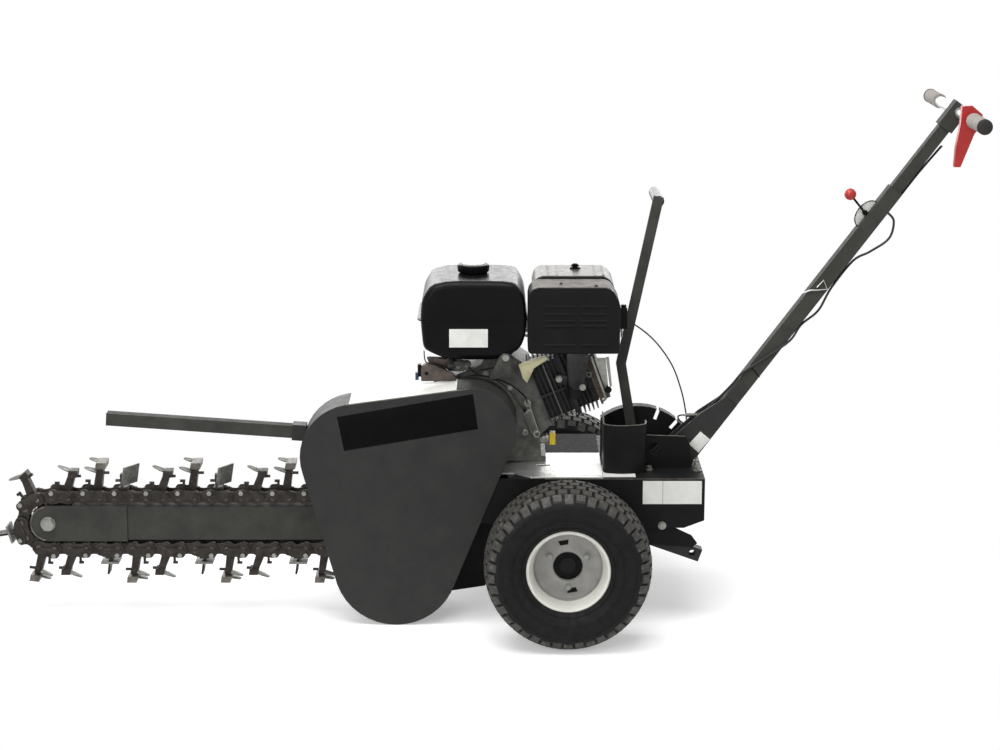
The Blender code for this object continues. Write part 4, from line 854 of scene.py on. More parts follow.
def build_rim(side, sign):
    """A pressed rim: rolled flanges, a deep dish, and a disc with its hub hole, bolts and hand slots."""
    sketch = Sketch()
    centre = Vector((0, sign * TRACK / 2, WHEEL_RADIUS))
    section = [
        (92.5, -57.5), (94.8, -56), (94.2, -53), (88.5, -51), (86, -44), (82, -30), (82, 20), (86, 44),
        (88.5, 51), (94.2, 53), (94.8, 56), (92.5, 57.8), (88.5, 56), (85.5, 50), (83, 43), (79.5, 29),
        (77.5, 20), (77.5, -30), (82, -44), (85, -52), (88.5, -56),
    ]
    disc = [
        (78.5, 24), (74, 16), (70, 14), (56, 12.5), (43, 15), (35, 14), (33, 11), (33, 7), (42, 8.5),
        (56, 6), (70, 7), (78, 10),
    ]
    sketch.turned([(radius, sign * run) for radius, run in section], centre, BACK, 64, closed=True)
    # The dish and the bolt bosses take the white paint darkened with painted shade.
    sketch.finish = 3
    sketch.turned([(radius, sign * run) for radius, run in disc], centre, BACK, 64, closed=True)
    # A dark disc behind the hub hole paints the shade inside it.
    sketch.finish = 1
    y0 = centre.y + sign * 3
    sketch.rod((0, y0, WHEEL_RADIUS), (0, y0 + sign * 3, WHEEL_RADIUS), 34.5, 32)
    for turn in BOLT_TURNS:
        x, z = along((0, WHEEL_RADIUS), math.radians(turn), BOLT_CIRCLE)
        sketch.finish = 3
        sketch.rod((x, centre.y + sign * 10, z), (x, centre.y + sign * 16, z), 8.5, 20, 0.8)
        sketch.finish = 2
        sketch.bolt((x, centre.y + sign * 16, z), (0, sign, 0), 11, 5.5)
    # Dark blocks in the hand slots paint the shade inside them.
    sketch.finish = 1
    for turn in HAND_SLOT_TURNS:
        a = math.radians(turn)
        mid = Vector((56 * math.cos(a), 0, 56 * math.sin(a)))
        ahead = Vector((-math.sin(a), 0, math.cos(a)))
        outward = Vector((math.cos(a), 0, math.sin(a)))
        corners = []
        for depth in (9, 13.6):
            for run, rise in ((-8.5, -5), (8.5, -5), (12, 6), (-12, 6)):
                corners.append(centre + mid + ahead * run + outward * rise + Vector((0, sign * depth, 0)))
        sketch.block(corners, 1)
    finishes = ["white_paint", "painted_shade_dark", "nut_steel", "white_paint_painted_shade"]
    piece(side + "_rim_detail", sketch, finishes, [side + "_rim"], side + "_wheel")


def build_wheels():
    for side, sign in (("near", -1), ("far", 1)):
        build_tyre(side, sign)
        build_rim(side, sign)


# ---------------------------------------------------------------- engine

TANK_OUTLINE = (
    (-274, 612), (-148, 612), (-106, 638), (-93, 673), (-91.5, 713), (-96.5, 755.3), (-106, 777),
    (-120, 797.4), (-307, 797.4), (-333, 755.3), (-336.5, 713.1), (-334.5, 682.6), (-331, 645), (-324, 634),
)
TANK_HALF_WIDTH = 120
CAP_X = -215.25
CAP_Z = 797.6
CYLINDER_CORNER = (-30, 447)
CYLINDER_TILT = math.radians(22)
CYLINDER_AXIS = (math.cos(CYLINDER_TILT), 0, math.sin(CYLINDER_TILT))
CYLINDER_HEIGHT = 160
FIN_PITCH = 10.4
FIN_THICK = 2.6


def flat_outline(low, high, corner, steps=6):
    """A rounded rectangle, as points round it."""
    (x0, y0), (x1, y1) = low, high
    x0, y0, x1, y1 = x0 + corner, y0 + corner, x1 - corner, y1 - corner
    centres = ((x1, y1), (x0, y1), (x0, y0), (x1, y0))
    points = []
    for quarter, centre in enumerate(centres):
        for k in range(steps + 1):
            points.append(along(centre, math.radians(90 * (quarter + k / steps)), corner))
    return points


def level(a, b, depth):
    """Lays an outline flat, with its depth upwards."""
    return a, b, depth


def corners_cut(points, rounds=2):
    """A closed outline with each corner cut off again and again, which rounds it."""
    for _ in range(rounds):
        cut = []
        for (x0, z0), (x1, z1) in zip(points, points[1:] + points[:1]):
            cut.append((0.8 * x0 + 0.2 * x1, 0.8 * z0 + 0.2 * z1))
            cut.append((0.2 * x0 + 0.8 * x1, 0.2 * z0 + 0.8 * z1))
        points = cut
    return points


def build_tank():
    """The rounded tank, its seam, the ring round its neck and a bare label."""
    sketch = Sketch()
    sketch.prism(corners_cut(list(TANK_OUTLINE)), -TANK_HALF_WIDTH, TANK_HALF_WIDTH)
    shell = piece("fuel_tank_shell", sketch, ["black_plastic"], ["fuel_tank"], angle=60)
    soften(shell, 20, 6, 50)
    trim = Sketch()
    seam = flat_outline((-344, -122.5), (-89.5, 122.5), 30)
    trim.prism(seam, 704, 706.8, 0.8, level)
    trim.finish = 1
    trim.hoop(33.5, 31, 796, 797.3, (CAP_X, 0, 0), UP, 36)
    piece("fuel_tank_seam", trim, ["black_plastic", "zinc_plate"])
    label = Sketch()
    label.box((-270, -120.6, 644), (-181, -120.1, 687), 0.2)
    piece("tank_label", label, ["label_film"])


def build_fuel_cap():
    """A knurled cap with a plain disc on top, whose light grey is a painted highlight."""
    cap = Sketch()
    profile = [
        (0, 0), (32, 0), (35, 3), (35.5, 7), (36.8, 12), (36.6, 18.5), (34.5, 20.5), (29, 21), (28, 20),
        (0, 20),
    ]
    cap.turned(profile, (CAP_X, 0, CAP_Z), UP, 48)
    for k in range(26):
        turn = 2 * math.pi * k / 26
        out = Vector((math.cos(turn), math.sin(turn), 0))
        foot = Vector((CAP_X, 0, CAP_Z + 4)) + out * 35
        cap.rod(foot, foot + Vector((0, 0, 14)) + out * 1.2, 1.7, 6)
    # The top disc's light grey is a painted highlight.
    cap.finish = 1
    cap.turned(
        [(0, 19.5), (27.2, 19.5), (26.8, 22.2), (20, 24), (10, 25.2), (0, 25.6)],
        (CAP_X, 0, CAP_Z), UP, 36,
    )
    piece(
        "fuel_cap_detail", cap, ["black_plastic", "grey_plastic"], ["fuel_cap"],
        "tank_cap",
    )


GUARD_SLOT_ROWS = (736.6, 718.5, 703.1, 690.9, 646.1)
GUARD_SLOT_COLUMNS = ((-49.7, 20.3), (34.3, 92.6))


def build_muffler_guard():
    """The pressed guard round the muffler: a rounded box, with two columns of pressed slots."""
    sketch = Sketch()
    outline = [
        (-83, 627.7), (119, 627.7), (123.7, 633), (123.7, 740), (121, 750), (111, 770), (101, 780),
        (90, 784), (-64, 784), (-77, 780), (-86, 768), (-88.8, 755), (-88.8, 634),
    ]
    sketch.prism(outline, -119, -8)
    # The guard's top is paler with dust and painted top light.
    finish = ["black_paint_dust_and_painted_light"]
    guard = piece("muffler_guard_shell", sketch, finish, ["muffler_guard"], angle=50)
    soften(guard, 6.5, 4, 30)
    trim = Sketch()
    for z in GUARD_SLOT_ROWS:
        for low, high in GUARD_SLOT_COLUMNS:
            # A dark strip in each slot paints the shade inside it.
            trim.finish = 1
            trim.box((low, -119.4, z - 2.6), (high, -118.6, z + 2.6), 0.3)
            trim.finish = 0
            corners = []
            left, right = low - 1, high + 1
            for rise in (0, 2.2):
                lip, root = z + rise + 1.2, z + rise + 3
                corners += [(left, -119.9, lip), (right, -119.9, lip)]
                corners += [(right, -118.8, root), (left, -118.8, root)]
            trim.block(corners, 0.3)
    trim.finish = 2
    for x, y in ((-12, -70), (68, -100)):
        trim.bolt((x, y, 783.6), UP, 7.5, 2.8, 6)
    piece("muffler_guard_slots", trim, ["black_paint", "painted_shade_dark", "worn_steel_and_painted_highlight"])


def build_air_cleaner():
    """The rounded lid with its ribs, and the six-lobed knob that holds it."""
    cover = Sketch()
    outline = [
        (-77, 735.5), (117, 735.5), (117, 754), (113, 768), (104, 780), (90, 788.8), (-54, 788.8),
        (-68, 783), (-74, 772), (-77, 758),
    ]
    cover.prism(outline, 1, 153)
    # The lid's top is paler with dust and painted top light.
    finish = ["black_plastic_dust_and_painted_light"]
    lid = piece("air_cleaner_lid", cover, finish, ["air_cleaner_cover"], angle=50)
    soften(lid, 5.5, 4, 30)
    ribs = Sketch()
    for x in (-40, -20, 70, 90):
        ribs.box((x - 2.5, 12, 787.8), (x + 2.5, 140, 789.3), 0.6)
    for side in (-1, 1):
        x = 20 + side * 95.8
        ribs.box((x - 2.2, 50, 700), (x + 2.2, 80, 748), 1)
    piece("air_cleaner_ribs", ribs, ["black_plastic"])
    knob = Sketch()
    centre = (25.7, 100, 789.3)
    knob.turned(
        [(0, 0), (12.8, 0), (13, 2.2), (11.2, 3), (5.8, 4), (6.2, 11.2), (4, 12), (0, 12)],
        centre, UP, 28,
    )
    for turn in (0, 60, 120):
        a = math.radians(turn)
        reach = Vector((math.cos(a), math.sin(a), 0)) * 8.8
        middle = Vector(centre) + Vector((0, 0, 7))
        knob.rod(middle - reach, middle + reach, 2.8, 10, 0.6)
    piece("cleaner_knob_detail", knob, ["black_plastic"], ["cleaner_knob"], "cleaner_nut")


def on_cylinder(run, rise, y):
    x, z = along(CYLINDER_CORNER, CYLINDER_TILT, run, rise)
    return Vector((x, y, z))


def cylinder_slab(sketch, runs, rises, depths, bevel=0.8):
    corners = []
    (a, b), (near, far) = runs, depths
    for rise in rises:
        for run, y in ((a, near), (b, near), (b, far), (a, far)):
            corners.append(on_cylinder(run, rise, y))
    sketch.block(corners, bevel)


def build_cylinder():
    """The finned barrel and head, and the rocker cover on its end."""
    sketch = Sketch()
    cylinder_slab(sketch, (0, 124), (14, 146), (-64, 54), 6)
    for k in range(12):
        run = FIN_PITCH * k
        head = k > 6
        low, high = (0, CYLINDER_HEIGHT) if head else (6, CYLINDER_HEIGHT - 4)
        near = -79.5 if head else -77
        sketch.finish = 1 if k == 3 else 0
        cylinder_slab(sketch, (run, run + FIN_THICK), (low, high), (near, 69.5), 0.9)
    sketch.finish = 0
    for y in (-72, 60):
        cylinder_slab(sketch, (0, 122), (70, 76), (y - 4, y + 4), 1)
    cylinder_slab(sketch, (66, 74), (2, 158), (-78, 68), 1)
    piece("cylinder_fins", sketch, ["fin_metal", "cast_aluminium"], ["cylinder"])
    cover = Sketch()
    cylinder_slab(cover, (125.3, 130), (2, 130), (-66, 56), 1.2)
    cylinder_slab(cover, (129.5, 151), (10, 122), (-60, 50), 7.5)
    cover.finish = 1
    for rise in (10, 122):
        for y in (-58, 48):
            cover.bolt(on_cylinder(130, rise, y), CYLINDER_AXIS, 9, 5, 7)
    finishes = ["heat_browned_metal", "nut_steel"]
    piece("rocker_cover_detail", cover, finishes, ["rocker_cover"])


def build_exhaust_trim():
    """The exhaust's duct and flange, the lifting bracket, the shield by the head and the switch."""
    sketch = Sketch()
    outline = [
        (-1, 632), (51, 632), (48, 585), (43.5, 556), (32, 540), (18, 539), (6, 552), (1, 585),
    ]
    sketch.prism(outline, -118, -81.2, 7.5)
    flange = [(-24, 556), (-15, 549), (40, 538), (49, 544), (49, 556), (38, 561), (-15, 572), (-24, 568)]
    sketch.prism(flange, -85, -80, 1)
    sketch.finish = 1
    sketch.bolt((-15.7, -85, 561.2), FRONT, 12, 6, 7.8)
    sketch.bolt((38.2, -118, 549.2), FRONT, 11.8, 5.5, 7.6)
    sketch.finish = 2
    sketch.hoop(7.5, 3.5, -1, 4, (53.6, -83, 572.2), FRONT, 20)
    piece("exhaust_duct", sketch, ["fin_metal", "nut_steel", "cast_aluminium"])
    brace = Sketch()
    upper_edge = [(-109.8, 595), (-74, 608), (-45.4, 615.5)]
    brace.prism(upper_edge + [(-40.9, 609.5), (-74, 587.1), (-89.7, 552), (-100, 563)], -88.5, -85.5, 0.8)
    brace.prism(upper_edge + [(-45.4, 617), (-74, 610.5), (-109.8, 597.5)], -99, -85.5, 0.5)
    piece("lift_bracket", brace, ["chromated_steel"])
    strap = Sketch()
    strap.prism([(56, 612), (61, 612), (98, 510), (93.5, 506)], -69, -66.5, 0.6)
    strap.prism([(93, 610), (101, 610), (108.5, 542), (104, 536)], -69, -66.5, 0.6)
    strap.finish = 1
    strap.prism([(66, 608), (93, 608), (100, 538), (93, 533)], -68, -66.8, 0.4)
    strap.finish = 2
    strap.bolt((100, -69, 532), FRONT, 12, 7.5, 8)
    piece("head_shield", strap, ["nut_steel", "cast_aluminium", "black_plastic"])
    box = Sketch()
    box.box((125.6, -76, 678), (142, -44, 728), 2.5)
    box.rod((134, -60, 727.5), (134, -60, 733), 6, 16, 1)
    box.finish = 1
    box.rod((130, -62, 656), (130, -62, 678.5), 2.4, 10)
    box.box((124, -64, 668), (130, -59, 674.5), 0.6)
    piece("switch_box", box, ["black_plastic", "nut_steel"])


def build_crankcase_trim():
    """Ribs, bosses and bolts on the crankcase, and the ribbed oil neck with its cap."""
    sketch = Sketch()
    crank = (-208, 466)
    face = -80
    for k in range(11):
        turn = math.radians(-34 + 11 * k)
        corners = []
        for run in (30, 94):
            for rise, depth in ((-1.1, 0.4), (1.1, 0.4), (0.8, -3.4), (-0.8, -3.4)):
                x, z = along(crank, turn, run, rise)
                corners.append(Vector((x, face + depth, z)))
        sketch.block(corners, 0.3)
    for radius in (97, 62):
        sketch.hoop(radius, radius - 3, 0.4, -4, (crank[0], face, crank[1]), BACK, 64)
    sketch.finish = 1
    sketch.prism([(-99, 476), (-86, 490), (-79, 488), (-59, 428), (-66, 422), (-79, 430)], -89, -60.5, 2.5)
    sketch.prism([(-96, 508), (-82, 510), (-79, 486), (-90, 484)], -87, -60.5, 2.5)
    for x, z, radius in ((-88.8, 503.2, 8.5), (-94.5, 433.4, 7.5), (-67.1, 429.5, 8.5)):
        sketch.turned(
            [(radius, 12), (radius, -3), (radius - 1, -4), (radius * 0.55, -4), (radius * 0.5, -1), (0, -1)],
            (x, -87, z), BACK, 24,
        )
    sketch.finish = 2
    for turn in (-62, -28, 42, 78, 118, 150):
        x, z = along(crank, math.radians(turn), 104)
        sketch.bolt((x, -62, z), FRONT, 9.5, 6, 7.2)
    piece("crankcase_trim", sketch, ["cast_aluminium", "pale_aluminium", "nut_steel"])
    neck = Sketch()
    start, end = Vector((-76, -45, 403)), Vector((-37.2, -45, 410))
    neck.rod(start, end, 10.5, 24, 0.5)
    for share in (0.15, 0.4, 0.65, 0.9):
        middle = start.lerp(end, share)
        half = (end - start).normalized() * 1.8
        neck.rod(middle - half, middle + half, 12.8, 24, 0.6)
    piece("oil_filler_detail", neck, ["pale_aluminium"], ["oil_filler"])
    cap = Sketch()
    cap.box((-36, -58.5, 396.5), (-23.2, -31.5, 423.5), 3)
    for k in range(5):
        z = 401 + 4.5 * k
        cap.box((-24, -56, z - 0.9), (-22.6, -34, z + 0.9), 0.4)
    piece("oil_cap_detail", cap, ["yellow_plastic"], ["oil_cap"], "dipstick")


def build_under_tank():
    """The tank's foot, the fuel tap, the governor housing and the thin lines that run between them."""
    foot = Sketch()
    plate = [(-179, 570), (-127, 570), (-127, 614), (-132, 629), (-145, 631), (-153, 624)]
    foot.prism(plate, -124, -120.6, 1)
    foot.finish = 1
    foot.bolt((-140, -124, 620), FRONT, 11, 5, 8)
    piece("tank_foot", foot, ["dark_iron", "nut_steel"])
    shroud = Sketch()
    shroud.prism([(-324, 611), (-272, 608.5), (-260, 588), (-314, 585)], -79, -60.5, 3)
    shroud.prism(
        [(-336.1, 560), (-336.1, 593), (-327, 600), (-310, 601), (-264, 579), (-255.1, 569), (-255.1, 560)],
        -104.3, -80.3, 2.2,
    )
    shroud.finish = 1
    shroud.rod((-323.5, -105, 579), (-323.5, -103, 579), 4.2, 16)
    shroud.box((-344, -100, 570), (-335.8, -86, 599), 1.5)
    shroud.finish = 2
    shroud.box((-349.5, -99, 562), (-342, -88, 579), 1.5)
    finishes = ["heat_browned_metal", "black_plastic", "dark_blue_plastic"]
    piece("governor_box", shroud, finishes, ["control_box"])
    tap = Sketch()
    tap.rod((-266, -100, 589), (-266, -78, 610), 9.5, 18, 1.5)
    tap.box((-260, -101, 583), (-236, -81, 606), 3)
    tap.rod((-230, -108, 596), (-230, -80, 596), 10, 18, 2)
    tap.rod((-248, -92, 604), (-248, -92, 614), 6.5, 14, 1)
    tap.box((-226, -100, 576), (-214, -84, 590), 2.5)
    tap.finish = 1
    tap.bolt((-230, -108, 596), FRONT, 8.5, 3)
    tap.bolt((-250, -101, 593), FRONT, 8, 3)
    piece("fuel_tap", tap, ["dark_iron", "worn_steel_and_painted_highlight"])
    lines = Sketch()
    first = [
        (-328.6, -109, 634), (-324, -110, 607.3), (-298, -110, 601), (-280.2, -110, 596), (-260, -108, 586),
    ]
    second = [
        (-229, -109, 596), (-206, -114, 580), (-183.1, -115, 574), (-150, -118, 565), (-120, -115, 549),
        (-95, -104, 523), (-90, -90, 506),
    ]
    lines.tube(smooth_path(first), 1.4)
    lines.tube(smooth_path(second), 1.8)
    lines.rod((-200, -100, 586), (-150, -94, 593), 1.6, 8)
    piece("engine_rods", lines, ["black_plastic"])
    bits = Sketch()
    bits.box((-92.5, -70, 678), (-89, -56, 702), 0.8)
    bits.bolt((-88, -64, 672), FRONT, 8, 6, 5.5)
    bits.bolt((-91.5, -60, 660), FRONT, 7, 5)
    piece("tank_side_bolts", bits, ["nut_steel"])


BLOWER_Z = 468.9
BLOWER_Y = 100.3


def build_blower_trim():
    """The recoil starter's slots, drawn as dark blocks of painted shade, its screws, and its pull grip."""
    sketch = Sketch()
    centre = (-208, BLOWER_Z)
    # Dark blocks paint the shade inside the starter's slots.
    for k in range(18):
        turn = 2 * math.pi * k / 18
        corners = []
        for depth in (93.6, 94.7):
            for run, rise in ((26, -2.2), (56, -3.4), (56, 3.4), (26, 2.2)):
                x, z = along(centre, turn, run, rise)
                corners.append(Vector((x, BLOWER_Y + depth, z)))
        sketch.block(corners, 0.2)
    sketch.finish = 1
    sketch.turned([(0, 93.5), (21, 93.5), (19, 93.9), (0, 94)], (centre[0], BLOWER_Y, centre[1]), BACK, 36)
    for turn in (45, 135, 225, 315):
        x, z = along(centre, math.radians(turn), 100)
        sketch.finish = 1
        sketch.rod((x, BLOWER_Y + 50, z), (x, BLOWER_Y + 70, z), 7, 16, 1)
        sketch.finish = 2
        sketch.bolt((x, BLOWER_Y + 70, z), BACK, 8, 4, 6.2)
    finishes = ["painted_shade_dark", "black_plastic", "nut_steel"]
    piece("starter_trim", sketch, finishes)
    grip = Sketch()
    x, z = centre[0] + 30, BLOWER_Z + 30
    y = BLOWER_Y + 94.3
    grip.turned([(0, 0), (5.2, 0), (6, 10), (9.5, 18), (10, 24), (8, 29.8), (0, 29.8)], (x, y, z), BACK, 24)
    grip.rod((x - 10.5, y + 23, z), (x + 10.5, y + 23, z), 6.2, 18, 2.5)
    piece("starter_grip_detail", grip, ["black_plastic"], ["starter_grip"], "starter")


def build_carburettor_trim():
    """The carburettor's body with its bowl, its cover's screws and its throttle rod."""
    sketch = Sketch()
    sketch.box((-29, 71.2, 531), (29, 129, 600), 6)
    sketch.rod((0, 100, 598.5), (0, 100, 654.5), 24, 24, 2)
    sketch.rod((0, 100, 550), (0, 131, 550), 17, 24, 2)
    sketch.finish = 1
    for x in (-21, 21):
        for z in (540, 590):
            sketch.bolt((x, 129, z), BACK, 7, 3.5)
    sketch.finish = 2
    sketch.rod((-10, 134, 625), (34, 134, 625), 2, 10)
    sketch.rod((0, 124, 625), (0, 136, 625), 4.5, 14, 0.8)
    finishes = ["pale_aluminium", "nut_steel", "worn_steel_and_painted_highlight"]
    piece("carburettor_detail", sketch, finishes, ["carburettor"])


def build_engine():
    build_tank()
    build_fuel_cap()
    build_muffler_guard()
    build_air_cleaner()
    build_cylinder()
    build_exhaust_trim()
    build_crankcase_trim()
    build_under_tank()
    build_blower_trim()
    build_carburettor_trim()


# ---------------------------------------------------------------- guard, deck and frame

GUARD_FACE = -203
GUARD_TOP = ((-503.7, 527.4), (-227.1, 564.6))
GUARD_PANEL = ((-525.2, 499.4), (-214.5, 553.4), (-203.3, 471.2), (-510.4, 419.2))
GUARD_STRIP = (0.02, 0.91)
FILM = 0.4


def film(sketch, outline, y):
    """A thin flat label on a face that looks towards -Y."""
    sketch.prism(list(outline), y - FILM, y, 0.1)


def build_guard_trim():
    """The guard's panel, the label along its top and a pale line along its upper edge, which is a painted
    highlight.
    """
    panel = Sketch()
    film(panel, GUARD_PANEL, GUARD_FACE)
    piece("guard_panel", panel, ["dark_label_film"])
    (x0, z0), (x1, z1) = GUARD_TOP
    outline = []
    start, end = GUARD_STRIP
    for share, rise in ((start, 0.2), (end, 0.2), (end, 0.7), (start, 0.7)):
        outline.append((x0 + (x1 - x0) * share, z0 + (z1 - z0) * share + rise))
    strip = Sketch()
    strip.prism(outline, -198.5, -87, 0.1)
    piece("guard_top_label", strip, ["label_film"])
    # A pale line along the guard's upper edge: a painted highlight.
    edge = Sketch()
    edge.tube([(x0, -202.4, z0 - 0.6), (x1, -202.4, z1 - 0.6)], 0.7)
    piece("guard_edge_highlight", edge, ["worn_steel_and_painted_highlight"])


def build_deck_trim():
    """Bare labels, a thin dark sheet of painted shade on the deck, bolts, and pale lines of painted highlight
    on the frame's edges.
    """
    labels = Sketch()
    labels.box((30, -185, 356.4), (83.2, -80, 356.8), 0.1)
    labels.box((85, -185, 352.1), (160, -80, 352.5), 0.1)
    labels.box((175.8, -200.1, 292), (221.4, -199.7, 347), 0.1)
    labels.box((222.2, -200.1, 292), (311.5, -199.7, 347), 0.1)
    film(labels, [(290.4, 401.7), (316.9, 431.9), (339.9, 413.2), (313.4, 380.8)], -72.3)
    piece("body_labels", labels, ["label_film"])
    # A thin dark sheet over the back of the deck paints the shade there.
    deck_shade_sheet = Sketch()
    deck_shade_sheet.box((-56, 20, 356.4), (83.6, 198, 357), 0.2)
    piece("deck_painted_shade", deck_shade_sheet, ["painted_shade_dark"])
    bolts = Sketch()
    bolts.bolt((115.7, -150, 386), FRONT, 10, 5, 7.5)
    bolts.bolt((194.1, -120, 352.4), UP, 13, 7, 10)
    bolts.bolt((221.5, -199.7, 240.4), FRONT, 13, 6, 9.5)
    bolts.bolt((306, -130, 352.4), UP, 12, 8, 9.5)
    bolts.rod((306, -90, 352), (306, -90, 372), 3.5, 12, 0.4)
    bolts.rod((300, -90, 366), (312, -90, 366), 3, 10, 0.6)
    piece("frame_bolts", bolts, ["nut_steel"])
    # Pale lines along two of the frame's top edges: painted highlights.
    edges = Sketch()
    edges.tube([(189.5, -99.1, 430.2), (279.5, -99.1, 427.2)], 0.8)
    edges.tube([(-50, -199.6, 351.6), (318, -199.6, 351.6)], 0.6)
    piece("frame_edge_highlights", edges, ["worn_steel_and_painted_highlight"])


SHIELD_ROUTE = (
    (88, -20), (87.5, -80), (87.5, -140), (104, -155), (128, -159), (155, -156), (176, -148), (185, -136),
    (187, -106),
)
SHIELD_LOW = 352.3
SHIELD_TOP = 468
SHIELD_THICK = 3


def build_shield():
    """The bowed sheet in front of the lever, which runs in behind the mast's side plate."""
    route = smooth_path([Vector((x, y, 0)) for x, y in SHIELD_ROUTE])
    inner = []
    for k, point in enumerate(route):
        ahead = (route[min(k + 1, len(route) - 1)] - route[max(k - 1, 0)]).normalized()
        inner.append(point + Vector((-ahead.y, ahead.x, 0)) * SHIELD_THICK)
    outline = [(p.x, p.y) for p in route] + [(p.x, p.y) for p in reversed(inner)]
    sketch = Sketch()
    sketch.prism(outline, SHIELD_LOW, SHIELD_TOP, 0, level)
    # A pale line along the shield's top edge: a painted highlight.
    sketch.finish = 1
    sketch.tube([Vector((p.x, p.y, SHIELD_TOP - 0.4)) for p in route[2:]], 0.7)
    finishes = ["black_paint", "worn_steel_and_painted_highlight"]
    piece("lever_shield", sketch, finishes, ["quadrant_shield"], angle=40)


def build_body():
    build_shield()
    build_guard_trim()
    build_deck_trim()


# ---------------------------------------------------------------- mast, handle and cables

MAST_FOOT = (286.6, 368)
MAST_TILT = math.radians(53.45)
MAST_Y = -50
MAST_HALF = 17
BAR_X = 892.8
BAR_Z = 1179
BAR_ENDS = (("near", -347, -1), ("far", 297, 1))
CABLE_RADIUS = 2.8
THIN_RADIUS = 1.8


def on_mast(run, rise, y=MAST_Y):
    x, z = along(MAST_FOOT, MAST_TILT, run, rise)
    return Vector((x, y, z))


def build_grips():
    """Ribbed rubber grips with dark end caps."""
    for side, y, sign in BAR_ENDS:
        sketch = Sketch()
        profile = [(12.9, -120), (17, -120), (17.4, -117), (16.2, -113)]
        for k in range(15):
            run = -110 + 6.8 * k
            profile += [(16, run), (16.8, run + 1.5), (16.8, run + 4.2), (16, run + 5.7)]
        profile += [(16.2, -5), (12.9, -5)]
        place = (BAR_X, y, BAR_Z)
        sketch.turned([(radius, sign * run) for radius, run in profile], place, closed=True)
        sketch.finish = 1
        cap = [(0, 4), (12, 4), (16, 2.8), (17.2, 0.8), (17.2, -4), (12.9, -4.8), (12.9, 0.2), (0, 0.2)]
        sketch.turned([(radius, sign * run) for radius, run in cap], place)
        finishes = ["grey_grip", "dark_grip_end"]
        piece("grip_detail_" + side, sketch, finishes, ["grip_" + side], "handle")


def half_round(across, up, steps):
    """Points along half an ellipse, from its right end over its top to its left end."""
    turns = [math.pi * k / steps for k in range(steps + 1)]
    return [(across * math.cos(turn), up * math.sin(turn)) for turn in turns]


def build_throttle():
    """A lever with a ball on its end, on a ribbed half-round plate."""
    base = along(MAST_FOOT, MAST_TILT, 704, MAST_HALF + 0.3)
    foot = along(base, MAST_TILT, 0, 6)
    tip = along(base, MAST_TILT, 13.5, 60)
    y = MAST_Y - 7.3
    arm = Sketch()
    arm.rod((foot[0], y, foot[1]), (tip[0], y, tip[1]), 2.7, 14, 0.3)
    arm.rod((foot[0], y - 2, foot[1]), (foot[0], MAST_Y - 4.3, foot[1]), 6.2, 20, 0.8)
    arm.finish = 1
    arm.turned([(up, -run) for run, up in half_round(13.8, 13.8, 14)], (tip[0], y, tip[1]), BACK, 28)
    finishes = ["black_plastic", "red_plastic"]
    piece("throttle_lever_detail", arm, finishes, ["throttle_lever"], "throttle")
    plate = Sketch()
    rim = [along(base, MAST_TILT, run, rise) for run, rise in half_round(35.5, 23.5, 24)]
    plate.prism(rim, MAST_Y - 3.6, MAST_Y + 3.6, 0.6)
    for k in range(13):
        run = -27 + 4.5 * k
        reach = 22.5 * math.sqrt(1 - (run / 35.5) ** 2)
        low, high = along(base, MAST_TILT, run, 2), along(base, MAST_TILT, run, reach)
        plate.rod((low[0], MAST_Y - 3.6, low[1]), (high[0], MAST_Y - 3.6, high[1]), 0.7, 8)
    plate.finish = 1
    edge = [along(base, MAST_TILT, run, rise) for run, rise in half_round(34.8, 22.8, 24)]
    plate.tube([(x, MAST_Y - 3.6, z) for x, z in edge], 1.2)
    piece("throttle_plate", plate, ["grey_plastic", "black_plastic"], ["throttle_bracket"])


def build_mast_trim():
    """A wire clip and a cable tie on the mast."""
    sketch = Sketch()
    y = MAST_Y - MAST_HALF - 1.9
    wire = [(546.3, 761.4), (565, 768), (583.1, 768.8), (603.9, 770.8), (595, 792), (580, 775)]
    sketch.tube([(x, y, z) for x, z in wire], 1.7)
    sketch.finish = 1
    sketch.tube([on_mast(255, -MAST_HALF, y + 0.6), on_mast(262, MAST_HALF, y + 0.6)], 1.1)
    sketch.rod(on_mast(255, -MAST_HALF - 1, y), on_mast(255, -MAST_HALF - 1, y + 12), 1.1, 8)
    piece("mast_clips", sketch, ["zinc_plate", "black_plastic"])


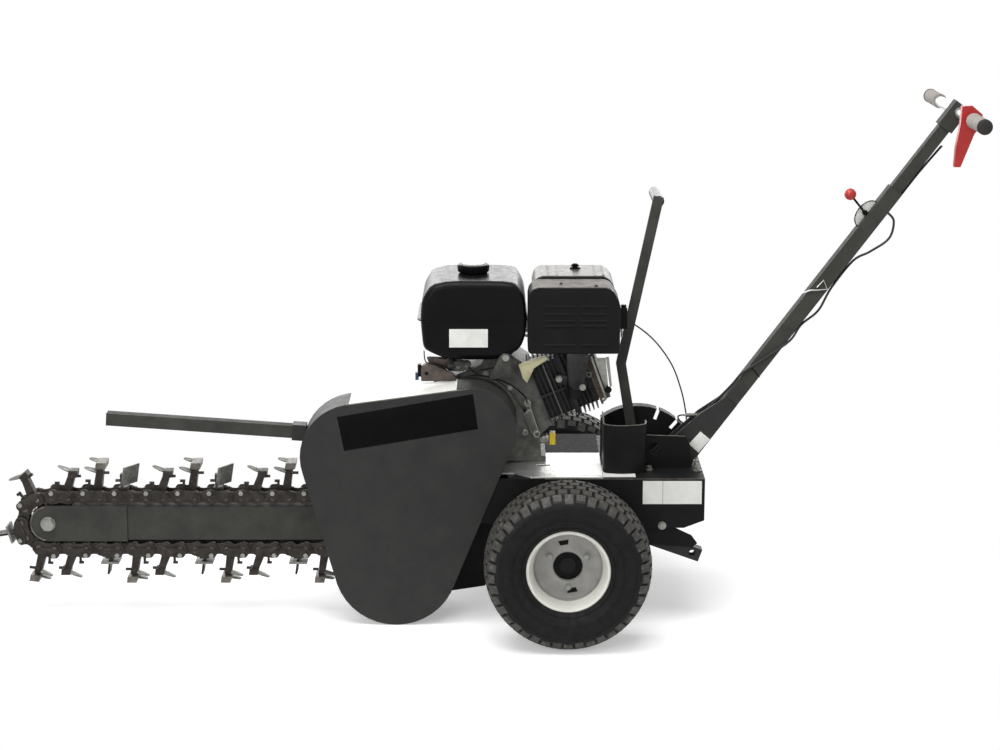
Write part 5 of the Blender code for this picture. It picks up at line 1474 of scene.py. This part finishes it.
def lay_cable(name, route, radius):
    """A cord along the smooth curve through its route, in place of its plain solid."""
    placed = [point * MM + SHIFT for point in smooth_path(route)]
    curve = bpy.data.curves.new(name + "_line", "CURVE")
    curve.dimensions = "3D"
    curve.bevel_depth = radius * MM
    curve.bevel_resolution = 3
    curve.use_fill_caps = True
    curve.materials.append(FINISH["cable_sheath"])
    spline = curve.splines.new("POLY")
    spline.points.add(len(placed) - 1)
    for target, point in zip(spline.points, placed):
        target.co = (*point, 1)
    cord = into_scene(name + "_line", curve)
    place_piece(cord, [name], "chassis")


def build_cables():
    under = -MAST_HALF - CABLE_RADIUS - 0.8
    corner = MAST_HALF + 3.4
    joint = Vector((310, MAST_Y, 466))
    barrel_end = joint - Vector((27, 0, 0))
    barrel = Sketch()
    barrel.rod(barrel_end, joint, 4.6, 20, 0.6)
    barrel.rod(barrel_end + Vector((6, 0, 0)), barrel_end + Vector((12, 0, 0)), 4.8, 6, 0.3)
    sleeve = piece("cable_barrel", barrel, ["worn_steel_and_painted_highlight"])
    # Run up the mast, rise off it and distance to the side, from the throttle down to the joint.
    route = (
        (735, under, -4), (728, under - 22, -5), (690, under - 38, -6), (640, under - 22, -6),
        (600, under - 4, -6), (520, under - 3, -6), (460, under - 12, -6), (410, under, -10),
        (365, -corner, -corner), (300, 0, under), (240, corner, -corner), (205, -under, -10),
        (165, 3 - under, -4),
    )
    throttle = [on_mast(run, rise, MAST_Y + aside) for run, rise, aside in route]
    throttle += [joint + Vector((20, 0, 12)), joint]
    lay_cable("throttle_cable", throttle, CABLE_RADIUS)
    runs = (930, 850, 760, 640, 500, 340, 160)
    clutch = [on_mast(run, under - (4 if run > 900 else 0), MAST_Y + 8) for run in runs]
    lay_cable("clutch_cable", clutch, CABLE_RADIUS)
    thin = [
        (125.6, 105, 668), (165, 100, 655), (215, 85, 618), (258, 78, 560), (281, 62, 500), (291, 40, 452),
        (291, 18, 435), (288, -5, 433), (272, -27, 447), (266, MAST_Y + 6, 461), (273, MAST_Y, joint.z),
        (barrel_end.x - 0.9, MAST_Y, joint.z),
    ]
    lay_cable("lever_cable", thin, THIN_RADIUS)


def build_mast():
    build_grips()
    build_throttle()
    build_mast_trim()
    build_cables()


build_digging_chain()
build_nose_trim()
build_wheels()
build_engine()
build_body()
build_mast()

dress_cad_nodes()
build_stage()
